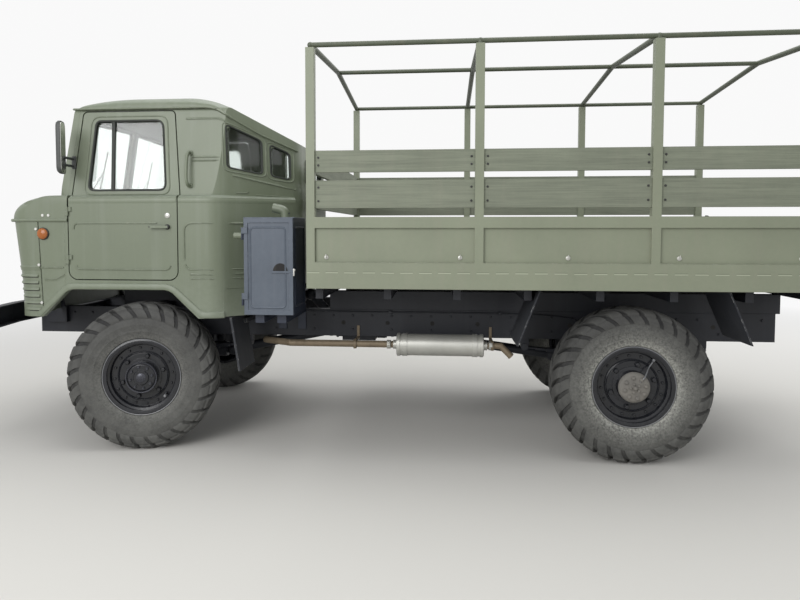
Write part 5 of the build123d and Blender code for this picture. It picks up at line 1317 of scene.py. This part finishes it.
class TRUCK_OT_bed_fittings(bpy.types.Operator):
    """Board bolts, lashing hooks, gate latches and rear lenses."""
    bl_idname = "truck.bed_fittings"
    bl_label = "Bed fittings"

    def execute(self, context):
        r = context.scene.truck_sizes.bolt_radius
        ends = np.concatenate([POSTS[:-1] + 0.050, POSTS[1:] - 0.050])
        heights = np.array([z for low, top in BOARDS for z in (low + 0.045, top - 0.045)])
        x, z = np.meshgrid(ends, heights, indexing="ij")
        places = points_of(x.ravel(), BOARD_FACE, z.ravel())
        build("board_bolts", both_sides([heads(places, LEFTWARD, 0.7 * r, 0.006, 8)]), "black_trim", "chassis")
        sills = []
        for start in POSTS[:-1]:
            x = np.linspace(start + RECESS_INSET, start + POSTS[1] - POSTS[0] - RECESS_INSET, 3)
            sills.append(swept(points_of(x, 0.0, 0.0), RECESS_SILL * (-1, 1), UPWARD))
        build("recess_sills", both_sides([moved(s, mirror=True) for s in sills]), "bed_paint", "chassis")
        hooks = []
        for x in HOOKS:
            foot = np.array([x, WALL_FACE, HOOK_HEIGHT])
            hooks.append(turned([(-0.002, 0.014), (0.003, 0.014), (0.005, 0.008)], foot, LEFTWARD, 16))
            hooks.append(tube(softened([foot, foot + (0, -0.012, 0), foot + (0, -0.013, -0.012),
                                        foot + (0, -0.016, 0.020)], 2), 0.0035, 8))
        build("lashing_hooks", both_sides(hooks), "silver_paint", "chassis")
        latches = []
        for y in (-1.06, 1.06):
            latches.append(plate((GATE_TOP_X, y, 1.5862), REARWARD, RIGHTWARD, 0.040, 0.090, 0.008, 0.008, 0.002))
            bent = [(GATE_TOP_X, y + dy, z) for dy, z in ((-0.03, 1.590), (-0.03, 1.625), (0.045, 1.630))]
            latches.append(tube(softened(bent, 2), 0.008, 10))
        build("gate_latches", latches, "black_trim", "gate")
        gate_studs = [(GATE_FACE_X, y, z) for y in (-0.62, -0.36, 0.36, 0.62) for z in (1.34, 1.47)]
        build("gate_studs", [heads(gate_studs, REARWARD, 0.012, 0.010, 8)], "bed_paint", "gate")
        red, amber = [], []
        for side in (LEFT, RIGHT):
            for lenses, (y, w) in ((red, RED_LENS), (amber, AMBER_LENS)):
                centre = (LAMP_FACE_X, side * y, LAMP_HEIGHT)
                lenses.append(plate(centre, RIGHTWARD, UPWARD, w, 0.066, 0.0035, 0.012, 0.0015))
        build("tail_lenses", red, "red_lens", "chassis")
        build("turn_lenses", amber, "amber_lens", "chassis")
        return {"FINISHED"}


# Left rail: y of its face, heights of its two rows of bolts and of its holes
RAIL_FACE, UPPER_BOLTS, LOWER_BOLTS, RAIL_HOLES = -0.450, 0.868, 0.765, 0.815
# Silencer: y and height of its axis, rows and radii of the bands on its body and of the clamps on its pipes, and the
# number of rivets round a band
SILENCER_Y, SILENCER_Z = -0.64, 0.69
BODY_BANDS, BODY_RADIUS, BAND_RADIUS, BAND_RIVETS = (1.800, 2.290), 0.0755, 0.0795, 14
PIPE_CLAMPS, PIPE_RADIUS, CLAMP_RADIUS = (1.690, 2.405), 0.0245, 0.031
# Leaf springs: distance from the middle, and the upper and lower end of their bolts
SPRING_SIDE, SPRING_BOLT_ENDS = 0.415, (0.66, 0.44)


class TRUCK_OT_chassis_fittings(bpy.types.Operator):
    """Rail bolts, near-black discs of painted shade for the rail's holes, brake pipes, exhaust bands with rivets,
    tail pipe, spring and bumper bolts.
    """
    bl_idname = "truck.chassis_fittings"
    bl_label = "Chassis fittings"

    def execute(self, context):
        r = context.scene.truck_sizes.bolt_radius
        upper, lower = np.arange(-2.60, 2.62, 0.145), np.arange(-0.86, 2.54, 0.29)
        x = np.concatenate([upper, lower])
        z = np.concatenate([np.full(len(upper), UPPER_BOLTS), np.full(len(lower), LOWER_BOLTS)])
        places = points_of(x, RAIL_FACE, z)
        build("rail_bolts", both_sides([heads(places, LEFTWARD, r * 0.9, 0.008)]), "chassis_black", "chassis")
        # The rail's holes: thin near-black discs of painted shade.
        holes = points_of(np.linspace(-0.35, 2.29, 9), -0.4495, RAIL_HOLES)
        build("rail_hole_shades", both_sides([heads(holes, LEFTWARD, 0.016, 0.0012, 16)]), "painted_hole_shade", "chassis")
        run = [(-1.20, -0.462, 0.905), (-0.2, -0.462, 0.895), (0.5, -0.462, 0.900), (1.30, -0.462, 0.890),
               (1.42, -0.462, 0.800), (1.45, -0.40, 0.640)]
        pipes = [tube(softened(run, 3), 0.005, 8)]
        clips = [plate((x, RAIL_FACE, 0.897), REARWARD, UPWARD, 0.026, 0.022, 0.018, 0.004, 0.003)
                 for x in (-0.8, 0.0, 0.8)]
        build("brake_pipes", both_sides(pipes), "chassis_black", "chassis")
        build("pipe_clips", both_sides(clips), "chassis_black", "chassis")
        axis, centre = REARWARD, np.array([0, SILENCER_Y, SILENCER_Z])
        bands, rivets = [], []

        def band(at_x, inner, outer, width, sides):
            return ring_of([(0, inner), (0, outer), (width, outer), (width, inner)], at_x, axis, sides)

        for start in BODY_BANDS:
            at_x = centre + (row(start), 0, 0)
            bands.append(band(at_x, BODY_RADIUS, BAND_RADIUS, 0.036, 56))
            t = np.arange(BAND_RIVETS) * 2 * pi / BAND_RIVETS
            for end in (0.008, 0.028):
                spots = at_x + points_of(end, BAND_RADIUS * np.cos(t), BAND_RADIUS * np.sin(t))
                rivets.extend(turned([(-0.002, 0.0035), (0.0015, 0.003)], p, (0, np.cos(a), np.sin(a)), 8)
                              for p, a in zip(spots, t))
        for start in PIPE_CLAMPS:
            at_x = centre + (row(start), 0, 0)
            bands.append(band(at_x, PIPE_RADIUS, CLAMP_RADIUS, 0.026, 32))
            bands.append(plate(at_x + (0.013, -0.030, 0.012), REARWARD, UPWARD, 0.024, 0.030, 0.014, 0.003, 0.002))
            rivets.append(heads([at_x + (0.013, -0.044, 0.020)], LEFTWARD, 0.008, 0.008))
        build("silencer_bands", bands, "silver_paint", "chassis")
        build("silencer_rivets", rivets, "silver_paint", "chassis")
        tail = np.array([row(2.560), SILENCER_Y, 0.62])
        way = unit((0.07, 0, -0.07))
        rolled = [(-0.006, 0.018), (-0.006, 0.0235), (0.004, 0.0235), (0.004, 0.018)]
        build("tail_pipe_end", [ring_of(rolled, tail, way, 28)], "rusty_pipe", "chassis")
        # A near-black disc inside the pipe's end: painted shade, and the pipe's soot.
        bore = turned([(-0.002, 0.0185), (0.0015, 0.0185)], tail, way, 28)
        build("tail_pipe_bore_shade", [bore], "painted_hole_shade", "chassis")
        clamps = []
        for axle_x in (FRONT_AXLE, REAR_AXLE):
            for side in (LEFT, RIGHT):
                y = side * SPRING_SIDE
                for dx in (-0.035, 0.035):
                    for dy in (-0.040, 0.040):
                        leg = [(axle_x + dx, y + dy, z) for z in SPRING_BOLT_ENDS]
                        clamps.append(tube(leg, 0.008, 10))
                clamps.append(plate((axle_x, y, 0.432), REARWARD, RIGHTWARD, 0.13, 0.12, 0.014, 0.01, 0.003))
        build("spring_bolts", clamps, "chassis_black", "chassis")
        bumper_bolts = [(row(-1.1005), y, 0.90) for y in (-0.62, -0.30, 0.30, 0.62)]
        build("bumper_bolts", [heads(bumper_bolts, FORWARD, 0.014, 0.010)], "chassis_black", "chassis")
        return {"FINISHED"}


# Locker: y of its door's face, and the row of its back
LOCKER_FACE, LOCKER_BACK = -1.1452, 1.1262


class TRUCK_OT_locker_fittings(bpy.types.Operator):
    """Pressed lines, handle with painted shade in its cup, latch, lid edge and pipe stubs of the locker."""
    bl_idname = "truck.locker_fittings"
    bl_label = "Locker fittings"

    def execute(self, context):
        face = LOCKER_FACE
        bead = np.array([(-0.008, -0.002), (-0.004, 0.003), (0.0, 0.0045), (0.004, 0.003), (0.008, -0.002)])
        line = rounded([(0.846, 1.002), (1.076, 1.002), (1.076, 1.520), (0.846, 1.520)], 0.028)
        frame_line = points_of(row(line[:, 0]), face, line[:, 1])
        build("locker_frame_line", [swept(frame_line, bead, LEFTWARD, True)], "locker_paint", "locker_lid")
        # The handle's cup: a thin near-black half-disc of painted shade.
        t = np.linspace(0, pi, 14)
        half = points_of(row(1.042 + 0.048 * np.cos(t)), face - 0.0002, 1.238 + 0.052 * np.sin(t))
        build("locker_handle_cup_shade", [slab(half, LEFTWARD, 0.0012, 0.0005)], "painted_hole_shade", "locker_lid")
        bar = [plate((row(1.046), face - 0.0005, 1.233), REARWARD, UPWARD, 0.126, 0.014, 0.0070, 0.005, 0.002)]
        build("locker_handle", bar, "locker_paint", "locker_lid")
        latch = [plate((row(LOCKER_BACK), -1.139, 1.232), RIGHTWARD, UPWARD, 0.018, 0.050, 0.008, 0.005, 0.002),
                 heads([(row(1.134), -1.139, 1.246)], REARWARD, 0.006, 0.006)]
        build("locker_latch", latch, "bright_screw", "locker_lid")
        lip = [plate((row(0.963), -0.946, 1.5800), REARWARD, RIGHTWARD, 0.338, 0.364, 0.006, 0.012, 0.002)]
        build("locker_lid_lip", lip, "locker_paint", "chassis")
        back = rounded([(-1.095, 1.005), (-0.805, 1.005), (-0.805, 1.520), (-1.095, 1.520)], 0.035)
        back = points_of(row(LOCKER_BACK), back[:, 0], back[:, 1])
        # The bead on the locker's back takes the darker copy of the locker paint, as painted shade.
        build("locker_back_rib", [swept(back, bead, REARWARD, True)], "locker_painted_shade", "chassis")
        # Painted sleeves over the two pipe stubs on the locker
        stub = [turned([(-0.001, 0.0215), (0.106, 0.0215), (0.1065, 0.017)], (row(0.801), -1.000, 1.465), FORWARD, 24),
                tube(softened([(row(1.016), -0.880, 1.579), (row(1.016), -0.880, 1.612), (row(1.000), -0.880, 1.640),
                               (row(0.930), -0.880, 1.655)], 3), 0.0315, 20)]
        build("locker_pipes", stub, "cab_paint", "chassis")
        return {"FINISHED"}


# Seats: distance from the middle, rise of the crown, sewn channels, depth of a seam and half its width in channels
SEAT_SIDE, CROWN, CHANNELS, SEAM_DEPTH, SEAM_WIDTH = 0.64, 0.018, 4, 0.008, 0.05
CUSHION_ROWS, CUSHION_COLUMNS = 40, 96


def cushion(centre, half, lean=0.0):
    """Crowned pad: a superellipsoid with x = a c(u) c(v), y = b c(u) s(v), z = h s(u), where c and s keep their sign
    and are raised to 0.30, and to 0.55 in z. Its broad face rises by a crown in the middle and dips at each sewn
    channel, and the pad leans."""
    u = np.linspace(-pi / 2, pi / 2, CUSHION_ROWS)[:, None]
    v = (np.arange(CUSHION_COLUMNS) * 2 * pi / CUSHION_COLUMNS)[None]

    def power(value, exponent):
        return np.sign(value) * np.abs(value) ** exponent

    x = half[0] * power(np.cos(u), 0.30) * power(np.cos(v), 0.30)
    y = half[1] * power(np.cos(u), 0.30) * power(np.sin(v), 0.30)
    z = half[2] * power(np.sin(u), 0.55) + 0 * v
    bulge = (1 - (x / half[0]) ** 2) * (1 - (y / half[1]) ** 2)
    channel = np.mod(y / (2 * half[1]) * CHANNELS + 0.5 * (CHANNELS % 2), 1.0)
    seams = np.exp(-((channel - 0.5) / SEAM_WIDTH) ** 2)
    z = z + np.sign(z) * (CROWN * bulge - SEAM_DEPTH * seams * bulge ** 0.5)
    points = points_of(x, y, z).reshape(-1, 3)
    c, s = np.cos(lean), np.sin(lean)
    points = points_of(points[:, 0] * c + points[:, 2] * s, points[:, 1], -points[:, 0] * s + points[:, 2] * c)
    last = (CUSHION_ROWS - 1) * CUSHION_COLUMNS
    caps = [list(range(CUSHION_COLUMNS)), list(range(last, last + CUSHION_COLUMNS))]
    return points + np.asarray(centre, float), grid_quads(CUSHION_ROWS, CUSHION_COLUMNS, False, True), caps


# Gear levers: row, distance from the middle, height of the top
LEVERS = ((0.02, -0.10, 1.86), (0.10, 0.08, 1.76), (0.16, 0.20, 1.72))


class TRUCK_OT_interior(bpy.types.Operator):
    """Padded seats on their boxes, and gear levers with knobs and gaiters."""
    bl_idname = "truck.interior"
    bl_label = "Interior"

    def execute(self, context):
        boxes = []
        for name, side in (("left", LEFT), ("right", RIGHT)):
            y = side * SEAT_SIDE
            boxes.append(plate((row(0.18), y, 1.147), REARWARD, RIGHTWARD, 0.46, 0.38, 0.155, 0.04, 0.01))
            seat = build("seat_cushion_" + name, [cushion((row(0.17), y, 1.358), (0.250, 0.188, 0.052))],
                         "seat_cover", "cab", sharp=60)
            rest = build("seat_back_" + name, [cushion((row(0.505), y, 1.665), (0.275, 0.186, 0.046), radians(-82.5))],
                         "seat_cover", "cab", sharp=60)
        base = build("seat_boxes", boxes, "black_trim", "cab")
        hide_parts("seats")
        levers, knobs, gaiters = [], [], []
        for x, y, top in LEVERS:
            end = np.array([row(x + 0.05), y - 0.05, top])
            levers.append(tube(softened([(row(x - 0.02), y, 1.555), (row(x - 0.01), y, 1.62), end], 2), 0.007, 10))
            knobs.append(turned([(-0.022, 0.008), (-0.014, 0.019), (0.0, 0.024), (0.014, 0.019), (0.022, 0.006)],
                                end, unit((0.06, -0.05, 0.25)), 20))
            gaiters.append(turned([(0, 0.060), (0.02, 0.052), (0.045, 0.026), (0.07, 0.016)], (row(x - 0.02), y, 1.559),
                                  UPWARD, 24))
        build("gear_levers", levers, "silver_paint", "cab")
        build("gear_knobs", knobs, "black_trim", "cab")
        build("lever_gaiters", gaiters, "black_trim", "cab")
        return {"FINISHED"}


# Camera: place, turn in degrees, focal length and sensor width in millimetres, shift of the picture
CAMERA_PLACE, CAMERA_TURN = (0.3906, -5.3671, 1.5084), (90 - 3.057, 0.0, 5.547)
CAMERA_LENS, CAMERA_SENSOR, CAMERA_SHIFT = 30.15, 36.0, (0.0267, -0.0437)
# Half the floor's length, the distances between which it fades into the white backdrop, and the backdrop's strength
FLOOR_REACH, FADE_START, FADE_END, BACKDROP = 30.0, 3.5, 11.0, 0.95
# The rear lamp's power as a share of the key lamp's
REAR_SHARE = 0.35


def backdrop_rays(tree):
    """1 for the rays that see the white backdrop: the camera's, those in gloss and those through glass."""
    rays = put(tree, "LightPath").outputs
    seen = calc(tree, "MAXIMUM", rays["Is Camera Ray"], rays["Is Glossy Ray"])
    return calc(tree, "MAXIMUM", seen, rays["Is Transmission Ray"])


def mixed_surface(tree, factor, a, b, output):
    """Sends a mix of two shaders to an output node."""
    mixed = put(tree, "MixShader", {0: factor, 1: a, 2: b})
    feed(tree, tree.nodes[output], {"Surface": mixed.outputs[0]})


class TRUCK_OT_stage(bpy.types.Operator):
    """Camera, pale floor, even sky and three large soft lamps."""
    bl_idname = "truck.stage"
    bl_label = "Stage"

    def execute(self, context):
        scene, values = context.scene, context.scene.truck_stage
        scene.view_settings.view_transform = "Standard"
        lens = bpy.data.cameras.new("camera")
        lens.lens, lens.sensor_width = CAMERA_LENS, CAMERA_SENSOR
        lens.shift_x, lens.shift_y = CAMERA_SHIFT
        camera = add_object("camera", lens)
        camera.location = CAMERA_PLACE
        camera.rotation_euler = [radians(a) for a in CAMERA_TURN]
        scene.camera = camera
        mesh = bpy.data.meshes.new("floor")
        corners = [(x * FLOOR_REACH, y * FLOOR_REACH, 0) for x, y in ((-1, -1), (1, -1), (1, 1), (-1, 1))]
        mesh.from_pydata(corners, [], [(0, 1, 2, 3)])
        floor = add_object("floor", mesh)
        # Away from the truck the floor shows as the white backdrop, to the camera, in gloss and through glass
        material, tree, shader = new_material("floor_finish")
        feed(tree, shader, {"Base Color": opaque(values.floor), "Roughness": 0.9})
        distance = put(tree, "VectorMath", {0: object_place(tree)}, operation="LENGTH").outputs["Value"]
        far = spread(tree, distance, FADE_START, FADE_END)
        glow = put(tree, "Emission", {"Color": (1, 1, 1, 1), "Strength": BACKDROP})
        mixed_surface(tree, calc(tree, "MULTIPLY", far, backdrop_rays(tree)), shader.outputs[0], glow.outputs[0],
                      "Material Output")
        floor.data.materials.append(material)
        world = bpy.data.worlds.new("studio")
        scene.world = world
        world.use_nodes = True
        tree = world.node_tree
        sky = feed(tree, tree.nodes["Background"], {"Color": (0.96, 0.98, 1.0, 1), "Strength": values.sky})
        white = put(tree, "Background", {"Color": (1, 1, 1, 1), "Strength": BACKDROP})
        mixed_surface(tree, backdrop_rays(tree), sky.outputs[0], white.outputs[0], "World Output")
        for name, place, target, power, size in (
                ("key", (-3.5, -8.0, 4.6), (0, 0, 1.2), values.key, 5.0),
                ("top", (0.5, 0.5, 7.5), (0, 0, 1.0), values.top, 7.0),
                ("rear", (6.0, 5.0, 5.0), (0, 0, 1.0), values.key * REAR_SHARE, 5.0)):
            lamp = bpy.data.lights.new(name, "AREA")
            lamp.energy, lamp.size = power, size
            holder = add_object(name, lamp)
            holder.location = place
            way = np.array(target, float) - np.array(place, float)
            holder.rotation_euler = Vector(way).to_track_quat("-Z", "Y").to_euler()
        return {"FINISHED"}


class TRUCK_PT_looks(bpy.types.Panel):
    """Lists the truck's operators and values."""
    bl_label = "Cargo truck"
    bl_idname = "TRUCK_PT_looks"
    bl_space_type = "VIEW_3D"
    bl_region_type = "UI"
    bl_category = "Truck"

    def draw(self, context):
        layout = self.layout
        for step in STEPS:
            layout.operator("truck." + step)
        for values in (context.scene.truck_colours, context.scene.truck_sizes, context.scene.truck_stage):
            box = layout.box()
            for key in values.bl_rna.properties.keys():
                if key not in ("rna_type", "name"):
                    box.prop(values, key)


STEPS = ("stage", "paint", "tyres", "wheels", "nose", "roof", "arches", "pressings", "windows", "mirrors",
         "cab_fittings", "bed_fittings", "chassis_fittings", "locker_fittings", "interior")
CLASSES = (TruckColours, TruckSizes, TruckStage, TRUCK_OT_stage, TRUCK_OT_paint, TRUCK_OT_tyres, TRUCK_OT_wheels,
           TRUCK_OT_nose, TRUCK_OT_roof, TRUCK_OT_arches, TRUCK_OT_mirrors,
           TRUCK_OT_pressings, TRUCK_OT_windows, TRUCK_OT_cab_fittings, TRUCK_OT_bed_fittings,
           TRUCK_OT_chassis_fittings, TRUCK_OT_locker_fittings, TRUCK_OT_interior, TRUCK_PT_looks)


def register():
    """Adds the classes and the scene's value groups."""
    for item in CLASSES:
        bpy.utils.register_class(item)
    bpy.types.Scene.truck_colours = PointerProperty(type=TruckColours)
    bpy.types.Scene.truck_sizes = PointerProperty(type=TruckSizes)
    bpy.types.Scene.truck_stage = PointerProperty(type=TruckStage)


def unregister():
    """Takes them away again."""
    del bpy.types.Scene.truck_stage, bpy.types.Scene.truck_sizes, bpy.types.Scene.truck_colours
    for item in reversed(CLASSES):
        bpy.utils.unregister_class(item)


def main():
    """Runs every operator in order."""
    register()
    for step in STEPS:
        getattr(bpy.ops.truck, step)()


if __name__ == "__main__":
    main()
